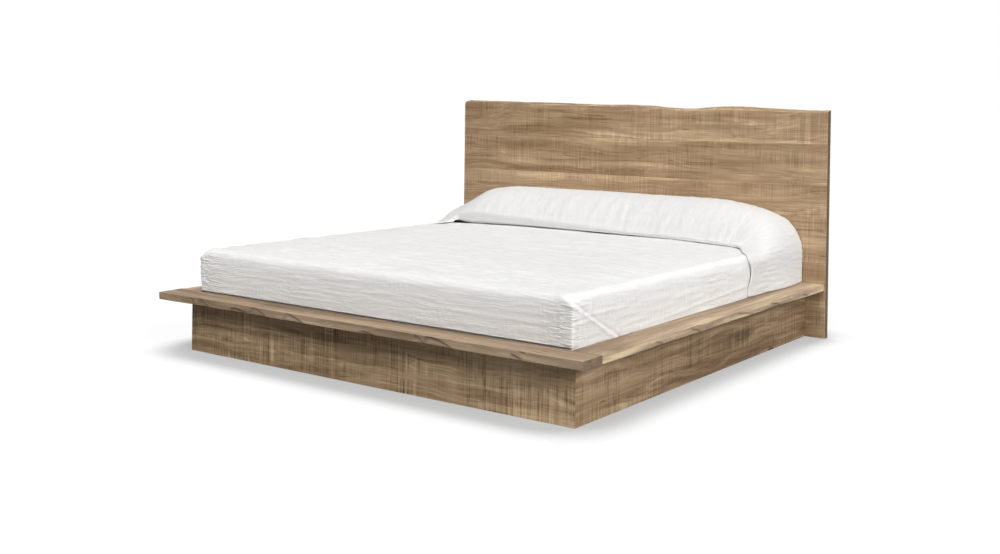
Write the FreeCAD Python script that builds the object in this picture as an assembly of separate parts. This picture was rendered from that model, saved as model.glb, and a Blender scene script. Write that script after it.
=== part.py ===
import FreeCAD, Part
import math
import os

from FreeCAD import Vector

# King-size platform bed: a floor-length plank headboard with a live top edge, a wide live-edge
# ledge round a sunk mattress, a set-back plinth, and the slat deck and centre beam inside it.
# Millimetres, +Z up, +Y towards the headboard, origin on the floor at the middle of the footprint.

# Mattress
mattress_width = 1930.0
mattress_length = 2030.0
mattress_thickness = 254.0
mattress_crown = 18.0
mattress_crown_run = 60.0
mattress_edge_radius = 34.0
mattress_corner_radius = 50.0
mattress_bulge = 6.0
mattress_draw_in = 3.0

# Coverlet tucked round the mattress, open below and at the head
coverlet_thickness = 4.0
coverlet_gap = 0.5
coverlet_hem_height = 12.0

# Recess in which the mattress sits
recess_depth = 55.0
recess_side_gap = 2.5
recess_foot_gap = 8.5
recess_head_gap = 10.0
resting_gap = 0.3

# Ledge boards
ledge_top = 260.0
ledge_thickness = 32.0
ledge_side_width = 122.0
ledge_foot_width = 124.0
ledge_edge_sway = 2.5
ledge_undercut = 11.0

# Plinth panels
plinth_thickness = 24.0
plinth_side_setback = 94.0
plinth_foot_setback = 107.0
head_rail_floor_gap = 20.0

# Headboard
headboard_overhang = 5.0
headboard_thickness = 38.0
headboard_height = 1095.0
headboard_edge_swing = 37.0
headboard_edge_bevel = 15.0
headboard_corner_radius = 18.0

# Battens screwed up the back of the headboard
batten_width = 90.0
batten_thickness = 22.0
batten_floor_gap = 60.0
batten_top_gap = 95.0
batten_side_inset = 260.0
batten_screw_length = 45.0
batten_screw_stagger = 20.0

# Slats, and the ledgers that carry their ends
slat_count = 13
slat_width = 89.0
slat_thickness = 19.0
slat_side_gap = 2.0
slat_row_end_gap = 15.0
slat_edge_chamfer = 2.5
slat_screw_length = 32.0
ledger_width = 32.0
ledger_height = 40.0
ledger_screw_count = 7
ledger_screw_length = 48.0
ledger_screw_end_gap = 60.0

# Glue blocks in the plinth's four corners
corner_block_width = 55.0
corner_block_chamfer = 20.0
corner_block_floor_gap = 6.0

# Centre beam, its steel hangers, and its legs
beam_width = 38.0
beam_height = 90.0
beam_end_gap = 1.0
hanger_plate = 2.5
hanger_side_gap = 0.2
hanger_depth = 38.0
hanger_flange_width = 24.0
hanger_height = 78.0
hanger_screw_length = 18.0
hanger_screw_end_gap = 16.0
leg_count = 3
leg_width = 72.0
leg_depth = 60.0
leg_bridle_height = 60.0
leg_bridle_gap = 0.3
leg_edge_chamfer = 4.0
leg_bolt_overrun = 3.0

# Levellers that screw into the legs
leveller_pad_radius = 20.0
leveller_pad_top_radius = 15.0
leveller_pad_height = 8.0
leveller_hex_height = 5.0
leveller_stud_length = 40.0
leveller_stop_gap = 0.3
leveller_bore_room = 6.0

# M8 bolts, nuts, washers and threaded inserts
bolt_radius = 4.0
bolt_hole_gap = 0.3
hex_flats = 13.0
bolt_head_height = 5.3
nut_height = 6.5
bolt_reach = 18.0
bolt_column_count = 4
bolt_column_inset = 170.0
bolt_low_row = 45.0
bolt_row_pitch = 75.0
bolt_row_count = 2
washer_radius = 9.0
washer_thickness = 1.6
insert_radius = 6.5
insert_length = 22.0

# Wood screws and dowels
screw_shank_radius = 2.2
screw_head_radius = 4.2
screw_head_height = 3.0
screw_hole_gap = 0.05
dowel_radius = 4.0
dowel_length = 36.0
dowel_hole_gap = 0.05
dowel_end_gap = 1.0
plank_dowel_count = 4
dowel_plank_inset = 190.0
dowel_ledge_inset = 32.0

# Slanted pocket screws that hold the ledge down on the plinth
pocket_angle = 15.0
pocket_screw_length = 38.0
pocket_screw_grip = 20.0
pocket_bore_radius = 4.6
side_pocket_screw_count = 5
foot_pocket_screw_count = 5
pocket_screw_inset = 190.0

# Pillows, and the length of cover drawn over them
pillow_side_gap = 46.0
pillow_middle_gap = 8.0
pillow_depth = 330.0
pillow_height = 170.0
pillow_back_gap = 14.0
pillow_rest_gap = 0.5
pillow_cover_thickness = 5.0
pillow_cover_gap = 0.5
pillow_cover_head_gap = 6.0
pillow_cover_hem_gap = 1.5
pillow_cover_depth = 405.0
pillow_cover_rise = 186.0
pillow_cover_set_back = 3.0
pillow_skirt_reach = 210.0
pillow_crease_half_width = 790.0
pillow_cover_bulge = 16.0
pillow_crest_half_width = 560.0
pillow_shoulder_inset = 110.0
pillow_shoulder_drop = 66.0
pillow_side_lift = 120.0
pillow_cover_roll_angle = 75.0

# Heights worked out from the sizes above
ledge_underside = ledge_top - ledge_thickness
slat_top = ledge_top - recess_depth
slat_underside = slat_top - slat_thickness
ledger_underside = slat_underside - ledger_height
beam_underside = slat_underside - beam_height
mattress_bottom = slat_top + resting_gap
mattress_top = mattress_bottom + mattress_thickness
coverlet_allowance = coverlet_gap + coverlet_thickness
coverlet_top = mattress_top + coverlet_allowance
pillow_cover_hem = ledge_top + pillow_cover_hem_gap
batten_top = headboard_height - batten_top_gap

# Places in plan, worked out from the sizes above
mattress_half_width = mattress_width / 2
opening_half_width = mattress_half_width + coverlet_allowance + recess_side_gap
ledge_half_width = opening_half_width + ledge_side_width
headboard_half_width = ledge_half_width + headboard_overhang
foot_clearance = coverlet_allowance + recess_foot_gap
ledge_length = ledge_foot_width + foot_clearance + mattress_length + recess_head_gap
total_depth = ledge_length + headboard_thickness + batten_thickness
ledge_front = -total_depth / 2
opening_front = ledge_front + ledge_foot_width
headboard_front = ledge_front + ledge_length
headboard_back = headboard_front + headboard_thickness
batten_back = headboard_back + batten_thickness
mattress_front = opening_front + foot_clearance
mattress_back = mattress_front + mattress_length
plinth_outer_half = ledge_half_width - plinth_side_setback
plinth_inner_half = plinth_outer_half - plinth_thickness
plinth_front = ledge_front + plinth_foot_setback
plinth_front_inside = plinth_front + plinth_thickness
head_rail_front = headboard_front - plinth_thickness
beam_front = plinth_front_inside + beam_end_gap
beam_back = head_rail_front - beam_end_gap
pillow_length = mattress_half_width - pillow_side_gap - pillow_middle_gap / 2
pillow_cover_back = headboard_front - pillow_cover_head_gap

# The seams between the headboard's planks, as shares of its height
plank_seam_shares = [0.137, 0.329, 0.53, 0.668, 0.849]

# Live edges: where along the board, as a share of its length, and how far up or in, as a share
# of the swing, bevel, sway or undercut that belongs to that edge
headboard_edge_shares = [
    (0.0, 1.0), (0.10, 0.90), (0.20, 0.77), (0.32, 0.66), (0.43, 0.50), (0.50, 0.53),
    (0.56, 0.40), (0.62, 0.15), (0.66, 0.05), (0.70, 0.22), (0.76, 0.44), (0.83, 0.33),
    (0.90, 0.14), (1.0, 0.0),
]
headboard_bevel_shares = [
    (0.0, 0.5), (0.12, 0.4), (0.30, 0.8), (0.44, 0.7), (0.55, 1.0), (0.63, 0.8),
    (0.70, 1.0), (0.78, 1.2), (0.88, 1.0), (1.0, 0.5),
]
foot_sway_shares = [(0.0, 0.0), (0.15, 0.3), (0.35, 0.7), (0.55, 0.2), (0.8, 0.5), (1.0, 0.0)]
foot_undercut_shares = [
    (0.0, 0.3), (0.06, 0.3), (0.13, 0.8), (0.2, 0.55), (0.27, 1.0), (0.34, 0.6), (0.45, 0.4),
    (0.55, 0.5), (0.66, 0.9), (0.74, 0.5), (0.86, 0.35), (1.0, 0.3),
]
side_sway_shares = [(0.0, 0.0), (0.2, 0.5), (0.45, 0.2), (0.7, 0.8), (0.85, 0.3), (1.0, 0.0)]
side_undercut_shares = [
    (0.0, 0.3), (0.12, 0.4), (0.25, 0.8), (0.35, 0.5), (0.48, 0.9), (0.6, 0.55), (0.73, 1.0),
    (0.86, 0.5), (1.0, 0.3),
]

# The mattress's side, as shares of its height and of its bulge, and its crown, as shares of the
# way in to its middle and of the crown's rise
mattress_side_shares = [(0.0, -1.0), (0.3, -0.2), (0.75, 1.0)]
mattress_crown_shares = [(0.1, 0.25), (0.28, 0.6), (0.5, 0.9), (0.7, 1.0)]

# A pillow from end to end: the share of its length, of its depth and of its height
pillow_shares = [
    (0.0, 0.72, 0.50), (0.06, 0.93, 0.82), (0.2, 0.99, 0.97), (0.45, 1.0, 1.0), (0.66, 0.99, 0.95),
    (0.84, 0.95, 0.76), (0.95, 0.86, 0.50), (1.0, 0.68, 0.26),
]
pillow_seam_share = 0.38

# The pillow cover from its crease to the headboard: the share of its depth, then the shares of the
# rise at the crest, at the shoulder and at the side, and of the bulge
pillow_cover_shares = [
    (0.0, 0.0, 0.0, 0.0, 0.0),
    (0.09, 0.36, 0.34, 0.25, 0.3),
    (0.24, 0.74, 0.72, 0.6, 0.7),
    (0.42, 0.96, 0.95, 0.9, 1.0),
    (0.62, 1.0, 1.0, 1.0, 0.9),
    (0.82, 0.93, 0.95, 0.97, 0.6),
    (1.0, 0.74, 0.8, 0.85, 0.3),
]
pillow_cover_start_share = -0.8
lower_bow_share = 0.18
upper_bow_share = 0.25
crest_crown_share = 0.05

# How many steps the soft forms take from one listed section to the next
section_steps = 2

PARTS_FOLDER = "parts"
X_AXIS = Vector(1, 0, 0)
Y_AXIS = Vector(0, 1, 0)
Z_AXIS = Vector(0, 0, 1)
SIDES = (("left", -1), ("right", 1))
ENDS = (("foot", plinth_front_inside, 1), ("head", head_rail_front, -1))


def block(x_ends, y_ends, z_ends):
    """A straight board between two places on each axis."""
    (x_low, x_high), (y_low, y_high), (z_low, z_high) = sorted(x_ends), sorted(y_ends), sorted(z_ends)
    return Part.makeBox(x_high - x_low, y_high - y_low, z_high - z_low, Vector(x_low, y_low, z_low))


def prism(corners, z_low, z_high):
    """An upright board with the given corners in plan."""
    points = [Vector(x, y, z_low) for x, y in corners]
    return Part.Face(Part.makePolygon(points + points[:1])).extrude(Z_AXIS * (z_high - z_low))


def rod(start, direction, radius, length):
    """A round bar from a start point along a direction."""
    return Part.makeCylinder(radius, length, start, direction)


def together(shapes):
    """One compound of separate solids."""
    return Part.makeCompound([solid for shape in shapes for solid in shape.Solids])


def bored(board, drills):
    """A board less the drills that reach it."""
    reaching = [drill for drill in drills if drill.BoundBox.intersect(board.BoundBox)]
    return board.cut(together(reaching)) if reaching else board


def save(name, shape):
    """Writes one named piece as its bare solids."""
    solids = shape.Solids
    piece = solids[0] if len(solids) == 1 else Part.makeCompound(solids)
    if not solids or not all(solid.isValid() and solid.Volume > 0 for solid in solids):
        print("bad solid in", name)
    piece.exportStep(os.path.join(PARTS_FOLDER, name + ".step"))


def spread(count, low, high):
    """Evenly spaced places from low to high, both ends included, or the middle one alone."""
    if count == 1:
        return [(low + high) / 2]
    return [low + (high - low) * i / (count - 1) for i in range(count)]


def between(low, high, share):
    """The place a share of the way from low to high."""
    return low + (high - low) * share


def share_at(shares, along):
    """The share at a place between two listed ones."""
    for (low, low_share), (high, high_share) in zip(shares, shares[1:]):
        if low <= along <= high:
            return between(low_share, high_share, (along - low) / (high - low))
    return shares[-1][1]


def smooth_between(before, start, end, after, share):
    """The value a share of the way from start to end, on a curve that heeds the values either side."""
    start_slope = (end - before) / 2
    end_slope = (after - start) / 2
    eased = share * share * (3 - 2 * share)
    lift = share * (1 - share) * (start_slope * (1 - share) - end_slope * share)
    return between(start, end, eased) + lift


def smoothed(rows, steps):
    """Rows of shares with smooth rows added, so that each listed row is some steps from the next."""
    padded = [rows[0], *rows, rows[-1]]
    smooth = []
    for four in zip(padded, padded[1:], padded[2:], padded[3:]):
        for step in range(steps):
            smooth.append([smooth_between(*values, step / steps) for values in zip(*four)])
    return smooth + [rows[-1]]


def hexagon(base, direction, height):
    """A hexagonal prism, such as a bolt head or a nut."""
    corner_radius = hex_flats / math.sqrt(3)
    turns = [math.radians(60 * i) for i in range(6)]
    corners = [(corner_radius * math.cos(turn), corner_radius * math.sin(turn)) for turn in turns]
    return placed(prism(corners, 0, height), base, FreeCAD.Rotation(Z_AXIS, direction))


def placed(shape, place, rotation):
    """A shape turned about the origin, then moved to its place."""
    shape.Placement = FreeCAD.Placement(place, rotation)
    return shape


def ring(start, direction, outer_radius, bore_radius, length):
    """A round collar with a bore, such as a washer or a threaded insert."""
    return rod(start, direction, outer_radius, length).cut(rod(start, direction, bore_radius, length))


def wood_screw(head_top, direction, length, gap=0):
    """A countersunk screw or, with a gap, the drill for it."""
    head = Part.makeCone(
        screw_head_radius + gap, screw_shank_radius + gap, screw_head_height, head_top, direction
    )
    return head.fuse(rod(head_top, direction, screw_shank_radius + gap, length + gap))


def screw_set(places, direction, length):
    """The screws at some places, and the drills for their holes."""
    screws = [wood_screw(place, direction, length) for place in places]
    drills = [wood_screw(place, direction, length, screw_hole_gap) for place in places]
    return screws, drills


def dowel_set(centres, direction):
    """Dowels centred on some places, and the drills for their holes."""
    pin_half = direction * (dowel_length / 2)
    hole_half = direction * (dowel_length / 2 + dowel_end_gap)
    pins = [rod(c - pin_half, direction, dowel_radius, dowel_length) for c in centres]
    drills = [
        rod(c - hole_half, direction, dowel_radius + dowel_hole_gap, 2 * hole_half.Length)
        for c in centres
    ]
    return pins, drills


def line(start, end):
    return Part.LineSegment(start, end).toShape()


def arc(start, middle, end):
    return Part.Arc(start, middle, end).toShape()


def open_path(points):
    """Straight edges from each point to the next."""
    return [line(start, end) for start, end in zip(points, points[1:])]


def curve_through(points):
    """A smooth live edge through some points."""
    curve = Part.BSplineCurve()
    curve.interpolate(points)
    return curve.toShape()


def live_edge_board(length, width, sway_shares, undercut_shares):
    """A ledge board from the origin along X. Its live edge, along Y = 0, is cut under below."""

    def outline(z, shares, reach):
        edge = [Vector(length * along, reach * inward, z) for along, inward in shares]
        back_corners = [Vector(length, width, z), Vector(0, width, z)]
        return Part.Wire([curve_through(edge), *open_path([edge[-1], *back_corners, edge[0]])])

    top = outline(ledge_thickness, sway_shares, ledge_edge_sway)
    bottom = outline(0, undercut_shares, ledge_undercut)
    return Part.makeLoft([bottom, top], True, True)


def ledge():
    """The three ledge boards and the screws that hold them down. Gives back the dowels for their
    corners, and the drills and pockets that these screws need in the plinth."""
    side_length = headboard_front - opening_front
    boards = {
        "ledge_foot": placed(
            live_edge_board(2 * ledge_half_width, ledge_foot_width, foot_sway_shares, foot_undercut_shares),
            Vector(-ledge_half_width, ledge_front, ledge_underside), FreeCAD.Rotation(Z_AXIS, 0),
        ),
        "ledge_left": placed(
            live_edge_board(side_length, ledge_side_width, side_sway_shares, side_undercut_shares),
            Vector(-ledge_half_width, headboard_front, ledge_underside), FreeCAD.Rotation(Z_AXIS, -90),
        ),
        "ledge_right": placed(
            live_edge_board(side_length, ledge_side_width, side_sway_shares, side_undercut_shares),
            Vector(ledge_half_width, opening_front, ledge_underside), FreeCAD.Rotation(Z_AXIS, 90),
        ),
    }
    dowel_height = ledge_underside + ledge_thickness / 2
    dowel_xs = (opening_half_width + dowel_ledge_inset, ledge_half_width - dowel_ledge_inset)
    dowels, dowel_drills = dowel_set(
        [Vector(side * x, opening_front, dowel_height) for _, side in SIDES for x in dowel_xs], Y_AXIS
    )
    screws, screw_drills, pockets = pocket_screws()
    for name, board in boards.items():
        save(name, bored(board, dowel_drills + screw_drills))
    save("ledge_screws", together(screws))
    return dowels, screw_drills + pockets


def pocket_screws():
    """Slanted screws up through the plinth's top edge into the ledge, with their drills and pockets."""
    tilt = math.radians(pocket_angle)
    side_ys = spread(
        side_pocket_screw_count, plinth_front_inside + pocket_screw_inset, head_rail_front - pocket_screw_inset
    )
    foot_xs = spread(
        foot_pocket_screw_count, pocket_screw_inset - plinth_inner_half, plinth_inner_half - pocket_screw_inset
    )
    panel_middle = plinth_outer_half - plinth_thickness / 2
    foot_middle = plinth_front + plinth_thickness / 2
    seats = [
        (Vector(side * panel_middle, y, ledge_underside), X_AXIS * side) for _, side in SIDES for y in side_ys
    ]
    seats += [(Vector(x, foot_middle, ledge_underside), Y_AXIS * -1) for x in foot_xs]
    screws, drills, pockets = [], [], []
    for seat, outward in seats:
        direction = outward * math.sin(tilt) + Z_AXIS * math.cos(tilt)
        head_top = seat - direction * pocket_screw_grip
        screws.append(wood_screw(head_top, direction, pocket_screw_length))
        drills.append(wood_screw(head_top, direction, pocket_screw_length, screw_hole_gap))
        pocket_length = plinth_thickness / math.sin(tilt)
        pocket_start = head_top - direction * pocket_length
        pockets.append(rod(pocket_start, direction, pocket_bore_radius, pocket_length))
    return screws, drills, pockets


def plinth(drills):
    """The plinth's foot and side panels, mitred at the foot corners, and the rail at the head."""
    foot_corners = [
        (-plinth_outer_half, plinth_front), (plinth_outer_half, plinth_front),
        (plinth_inner_half, plinth_front_inside), (-plinth_inner_half, plinth_front_inside),
    ]
    save("plinth_foot", bored(prism(foot_corners, 0, ledge_underside), drills))
    for name, side in SIDES:
        side_corners = [
            (side * plinth_outer_half, plinth_front), (side * plinth_outer_half, headboard_front),
            (side * plinth_inner_half, headboard_front), (side * plinth_inner_half, plinth_front_inside),
        ]
        save("plinth_" + name, bored(prism(side_corners, 0, ledge_underside), drills))
    rail = block(
        (-plinth_inner_half, plinth_inner_half), (head_rail_front, headboard_front),
        (head_rail_floor_gap, slat_underside),
    )
    save("plinth_head_rail", bored(rail, drills))


def corner_blocks():
    """Glue blocks that stiffen the plinth's four corners, each with its inner arris taken off."""
    near_x = plinth_inner_half - corner_block_width
    for end, wall, inward in ENDS:
        far_y = wall + inward * corner_block_width
        for name, side in SIDES:
            corners = [
                (side * plinth_inner_half, wall), (side * near_x, wall),
                (side * near_x, far_y - inward * corner_block_chamfer),
                (side * (near_x + corner_block_chamfer), far_y), (side * plinth_inner_half, far_y),
            ]
            piece = prism(corners, corner_block_floor_gap, ledger_underside)
            save("corner_block_%s_%s" % (end, name), piece)


def slat_deck():
    """Ledgers along the plinth's sides, the slats that lie on them, and all their screws. Gives back
    the drills for the ledgers' screws."""
    half_slat = slat_width / 2
    end_inset = slat_row_end_gap + half_slat
    slat_ys = spread(slat_count, plinth_front_inside + end_inset, head_rail_front - end_inset)
    slat_half_length = plinth_inner_half - slat_side_gap
    ledger_inner_half = plinth_inner_half - ledger_width
    ledger_middle = plinth_inner_half - ledger_width / 2
    slat_screws, slat_drills = screw_set(
        [Vector(side * ledger_middle, y, slat_top) for y in slat_ys for _, side in SIDES],
        Z_AXIS * -1, slat_screw_length,
    )
    chamfer_start = slat_thickness - slat_edge_chamfer
    profile = [
        (-half_slat, 0), (half_slat, 0), (half_slat, chamfer_start),
        (half_slat - slat_edge_chamfer, slat_thickness), (slat_edge_chamfer - half_slat, slat_thickness),
        (-half_slat, chamfer_start),
    ]
    for number, y in enumerate(slat_ys, 1):
        points = [Vector(-slat_half_length, y + across, slat_underside + up) for across, up in profile]
        slat = Part.Face(Part.makePolygon(points + points[:1])).extrude(X_AXIS * (2 * slat_half_length))
        save("slat_%02d" % number, bored(slat, slat_drills))
    save("slat_screws", together(slat_screws))

    screw_ys = spread(
        ledger_screw_count, plinth_front_inside + ledger_screw_end_gap, head_rail_front - ledger_screw_end_gap
    )
    screw_height = ledger_underside + ledger_height / 2
    ledger_screws, plinth_drills = [], []
    for name, side in SIDES:
        places = [Vector(side * ledger_inner_half, y, screw_height) for y in screw_ys]
        screws, drills = screw_set(places, X_AXIS * side, ledger_screw_length)
        ledger_screws += screws
        plinth_drills += drills
        ledger = block(
            (side * ledger_inner_half, side * plinth_inner_half), (plinth_front_inside, head_rail_front),
            (ledger_underside, slat_underside),
        )
        save("ledger_" + name, bored(ledger, drills + slat_drills))
    save("ledger_screws", together(ledger_screws))
    return plinth_drills


def beam_hanger(wall, inward):
    """A folded steel hanger: a channel under the beam's end, and two flanges on the panel behind."""
    inner = beam_width / 2 + hanger_side_gap
    outer = inner + hanger_plate
    bottom = beam_underside - hanger_plate
    top = beam_underside + hanger_height
    far = wall + inward * hanger_depth
    channel = block((-outer, outer), (wall, far), (bottom, top))
    flange_reach = outer + hanger_flange_width
    flanges = block((-flange_reach, flange_reach), (wall, wall + inward * hanger_plate), (bottom, top))
    hollow = block((-inner, inner), (wall, far), (beam_underside, top))
    return channel.fuse(flanges).cut(hollow).removeSplitter()


def beam_hangers():
    """The hangers at both ends of the beam, and their screws. Gives back the drills for these."""
    screw_x = beam_width / 2 + hanger_side_gap + hanger_plate + hanger_flange_width / 2
    screw_heights = (
        beam_underside + hanger_screw_end_gap, beam_underside + hanger_height - hanger_screw_end_gap
    )
    hanger_screws, panel_drills = [], []
    for end, wall, inward in ENDS:
        face = wall + inward * hanger_plate
        places = [Vector(side * screw_x, face, z) for _, side in SIDES for z in screw_heights]
        screws, drills = screw_set(places, Y_AXIS * -inward, hanger_screw_length)
        hanger_screws += screws
        panel_drills += drills
        save("beam_hanger_" + end, bored(beam_hanger(wall, inward), drills))
    save("hanger_screws", together(hanger_screws))
    return panel_drills


def centre_support():
    """The beam under the slats, and its legs with their bolts and levellers. Gives back the legs'
    threaded inserts."""
    leg_bottom = leveller_pad_height + leveller_hex_height + leveller_stop_gap
    leg_top = beam_underside + leg_bridle_height
    bolt_height = beam_underside + leg_bridle_height / 2
    slot_half = beam_width / 2 + leg_bridle_gap
    leg_half = leg_width / 2
    hole_radius = bolt_radius + bolt_hole_gap
    bolt_length = leg_width + nut_height + leg_bolt_overrun
    bolts, nuts, inserts, bolt_drills = [], [], [], []
    for number in range(1, leg_count + 1):
        y = between(beam_front, beam_back, number / (leg_count + 1))
        y_ends = (y - leg_depth / 2, y + leg_depth / 2)
        bolt_seat = Vector(-leg_half, y, bolt_height)
        bolt_drill = rod(bolt_seat, X_AXIS, hole_radius, leg_width)
        bolt_drills.append(bolt_drill)
        shank = rod(bolt_seat, X_AXIS, bolt_radius, bolt_length)
        bolts.append(shank.fuse(hexagon(bolt_seat, X_AXIS * -1, bolt_head_height)))
        nuts.append(hexagon(Vector(leg_half, y, bolt_height), X_AXIS, nut_height).cut(shank))

        post = block((-leg_half, leg_half), y_ends, (leg_bottom, leg_top))
        uprights = [edge for edge in post.Edges if edge.BoundBox.ZLength > leg_depth]
        post = post.makeChamfer(leg_edge_chamfer, uprights)
        slot = block((-slot_half, slot_half), y_ends, (beam_underside, leg_top))
        foot_centre = Vector(0, y, leg_bottom)
        insert_seat = rod(foot_centre, Z_AXIS, insert_radius, insert_length)
        stud_bore = rod(foot_centre, Z_AXIS, hole_radius, leveller_stud_length + leveller_bore_room)
        save("centre_leg_%d" % number, post.cut(together([slot, insert_seat, stud_bore, bolt_drill])))
        inserts.append(ring(foot_centre, Z_AXIS, insert_radius, hole_radius, insert_length))
        save("leveller_%d" % number, leveller(Vector(0, y, 0)))
    beam = block((-beam_width / 2, beam_width / 2), (beam_front, beam_back), (beam_underside, slat_underside))
    save("centre_beam", bored(beam, bolt_drills))
    save("leg_bolts", together(bolts))
    save("leg_nuts", together(nuts))
    return inserts


def leveller(floor):
    """A round pad with a hexagon to turn it by and a stud that screws up into the leg."""
    pad = Part.makeCone(leveller_pad_radius, leveller_pad_top_radius, leveller_pad_height, floor, Z_AXIS)
    hex_base = floor + Z_AXIS * leveller_pad_height
    stud_base = hex_base + Z_AXIS * leveller_hex_height
    stud = rod(stud_base, Z_AXIS, bolt_radius, leveller_stud_length)
    return pad.fuse([hexagon(hex_base, Z_AXIS, leveller_hex_height), stud])


def top_plank(seam):
    """The headboard's highest plank, with its live edge bevelled towards the room."""
    run = 2 * headboard_half_width
    corner_share = headboard_corner_radius / run
    alongs = [corner_share] + [along for along, _ in headboard_edge_shares if along > corner_share]

    def outline(y, drop):
        edge = []
        for along in alongs:
            rise = headboard_edge_swing * share_at(headboard_edge_shares, along)
            bevel = headboard_edge_bevel * share_at(headboard_bevel_shares, along)
            height = headboard_height + rise - drop * bevel
            edge.append(Vector(run * along - headboard_half_width, y, height))
        start = edge[0]
        low_left = Vector(-headboard_half_width, y, seam)
        low_right = Vector(headboard_half_width, y, seam)
        shoulder = Vector(-headboard_half_width, y, start.z - headboard_corner_radius)
        bow = headboard_corner_radius * (1 - math.sqrt(1 / 2))
        corner = arc(shoulder, Vector(-headboard_half_width + bow, y, start.z - bow), start)
        sides = open_path([edge[-1], low_right, low_left, shoulder])
        return Part.Wire([corner, curve_through(edge), *sides])

    return Part.makeLoft([outline(headboard_front, 1), outline(headboard_back, 0)], True, True)


def headboard_battens(seams):
    """Three battens up the back of the headboard, screwed to every plank. Gives back the drills."""
    batten_xs = (
        ("left", batten_side_inset - headboard_half_width), ("middle", 0),
        ("right", headboard_half_width - batten_side_inset),
    )
    batten_screws, plank_drills = [], []
    for name, x in batten_xs:
        places = []
        for number, (low, high) in enumerate(zip(seams, seams[1:] + [batten_top])):
            height = (max(low, batten_floor_gap) + high) / 2
            stagger = batten_screw_stagger if number % 2 else -batten_screw_stagger
            places.append(Vector(x + stagger, batten_back, height))
        screws, drills = screw_set(places, Y_AXIS * -1, batten_screw_length)
        batten_screws += screws
        plank_drills += drills
        batten = block(
            (x - batten_width / 2, x + batten_width / 2), (headboard_back, batten_back),
            (batten_floor_gap, batten_top),
        )
        save("headboard_batten_" + name, bored(batten, drills))
    save("batten_screws", together(batten_screws))
    return plank_drills


def headboard_bolts():
    """Bolts and washers through the head rail, and the threaded inserts that they reach in the
    headboard. Gives back the inserts, and the drills for the rail and for the planks."""
    columns = spread(bolt_column_count, bolt_column_inset - plinth_inner_half, plinth_inner_half - bolt_column_inset)
    rows = [bolt_low_row + bolt_row_pitch * i for i in range(bolt_row_count)]
    hole_radius = bolt_radius + bolt_hole_gap
    bolts, washers, inserts, rail_drills, plank_drills = [], [], [], [], []
    for x in columns:
        for z in rows:
            rail_face = Vector(x, head_rail_front, z)
            head_seat = rail_face - Y_AXIS * washer_thickness
            shank_length = washer_thickness + plinth_thickness + bolt_reach
            shank = rod(head_seat, Y_AXIS, bolt_radius, shank_length)
            bolts.append(shank.fuse(hexagon(head_seat, Y_AXIS * -1, bolt_head_height)))
            washers.append(ring(head_seat, Y_AXIS, washer_radius, hole_radius, washer_thickness))
            rail_drills.append(rod(rail_face, Y_AXIS, hole_radius, plinth_thickness))
            plank_face = Vector(x, headboard_front, z)
            inserts.append(ring(plank_face, Y_AXIS, insert_radius, hole_radius, insert_length))
            plank_drills.append(rod(plank_face, Y_AXIS, insert_radius, insert_length))
    save("headboard_bolts", together(bolts))
    save("headboard_washers", together(washers))
    return inserts, rail_drills, plank_drills


def headboard(plank_drills):
    """Six planks dowelled edge to edge, with a live top edge. Gives back the dowels."""
    seams = plank_seams()
    dowel_y = (headboard_front + headboard_back) / 2
    dowel_reach = headboard_half_width - dowel_plank_inset
    dowel_xs = spread(plank_dowel_count, -dowel_reach, dowel_reach)
    dowels, drills = dowel_set([Vector(x, dowel_y, z) for z in seams[1:] for x in dowel_xs], Z_AXIS)
    planks = [
        block((-headboard_half_width, headboard_half_width), (headboard_front, headboard_back), (low, high))
        for low, high in zip(seams, seams[1:])
    ]
    planks.append(top_plank(seams[-1]))
    for number, plank in enumerate(planks, 1):
        save("headboard_plank_%d" % number, bored(plank, plank_drills + drills))
    return dowels


def plank_seams():
    """The height at which each headboard plank starts, from the floor up."""
    return [0] + [headboard_height * up for up in plank_seam_shares]


def mattress_outline(z, inset, end_inset):
    """The mattress's outline at one height: round corners, and sides drawn in between them."""
    half_width = mattress_half_width - inset
    front = mattress_front + end_inset
    back = mattress_back - end_inset
    middle_y = (front + back) / 2
    corner = mattress_corner_radius
    bow = corner * (1 - math.sqrt(1 / 2))

    def edge(start, middle, end):
        return arc(Vector(*start, z), Vector(*middle, z), Vector(*end, z))

    edges = [
        edge((corner - half_width, front), (0, front + mattress_draw_in), (half_width - corner, front)),
        edge((corner - half_width, back), (0, back - mattress_draw_in), (half_width - corner, back)),
    ]
    for _, side in SIDES:
        outer = side * half_width
        near = side * (half_width - corner)
        diagonal = side * (half_width - bow)
        middle = side * (half_width - mattress_draw_in)
        edges += [
            edge((outer, front + corner), (middle, middle_y), (outer, back - corner)),
            edge((near, front), (diagonal, front + bow), (outer, front + corner)),
            edge((near, back), (diagonal, back - bow), (outer, back - corner)),
        ]
    return Part.Wire(Part.__sortEdges__(edges))


def mattress_form(growth):
    """The mattress's crowned form, grown by an allowance at its sides and top."""
    shoulder = mattress_top - mattress_crown
    roll_centre = shoulder - mattress_edge_radius
    outlines = []
    for up, out in mattress_side_shares:
        inset = -growth - mattress_bulge * out
        outlines.append(mattress_outline(between(mattress_bottom, roll_centre, up), inset, inset))
    roll_radius = mattress_edge_radius + growth
    for turn in (0, 30, 60, 90):
        angle = math.radians(turn)
        inset = mattress_edge_radius - roll_radius * math.cos(angle)
        outlines.append(mattress_outline(roll_centre + roll_radius * math.sin(angle), inset, inset))
    for inward, rise in mattress_crown_shares:
        inset = between(mattress_edge_radius, mattress_half_width, inward)
        end_inset = mattress_edge_radius + mattress_crown_run * inward
        outlines.append(mattress_outline(shoulder + growth + mattress_crown * rise, inset, end_inset))
    return Part.makeLoft(outlines, True, True)


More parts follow.
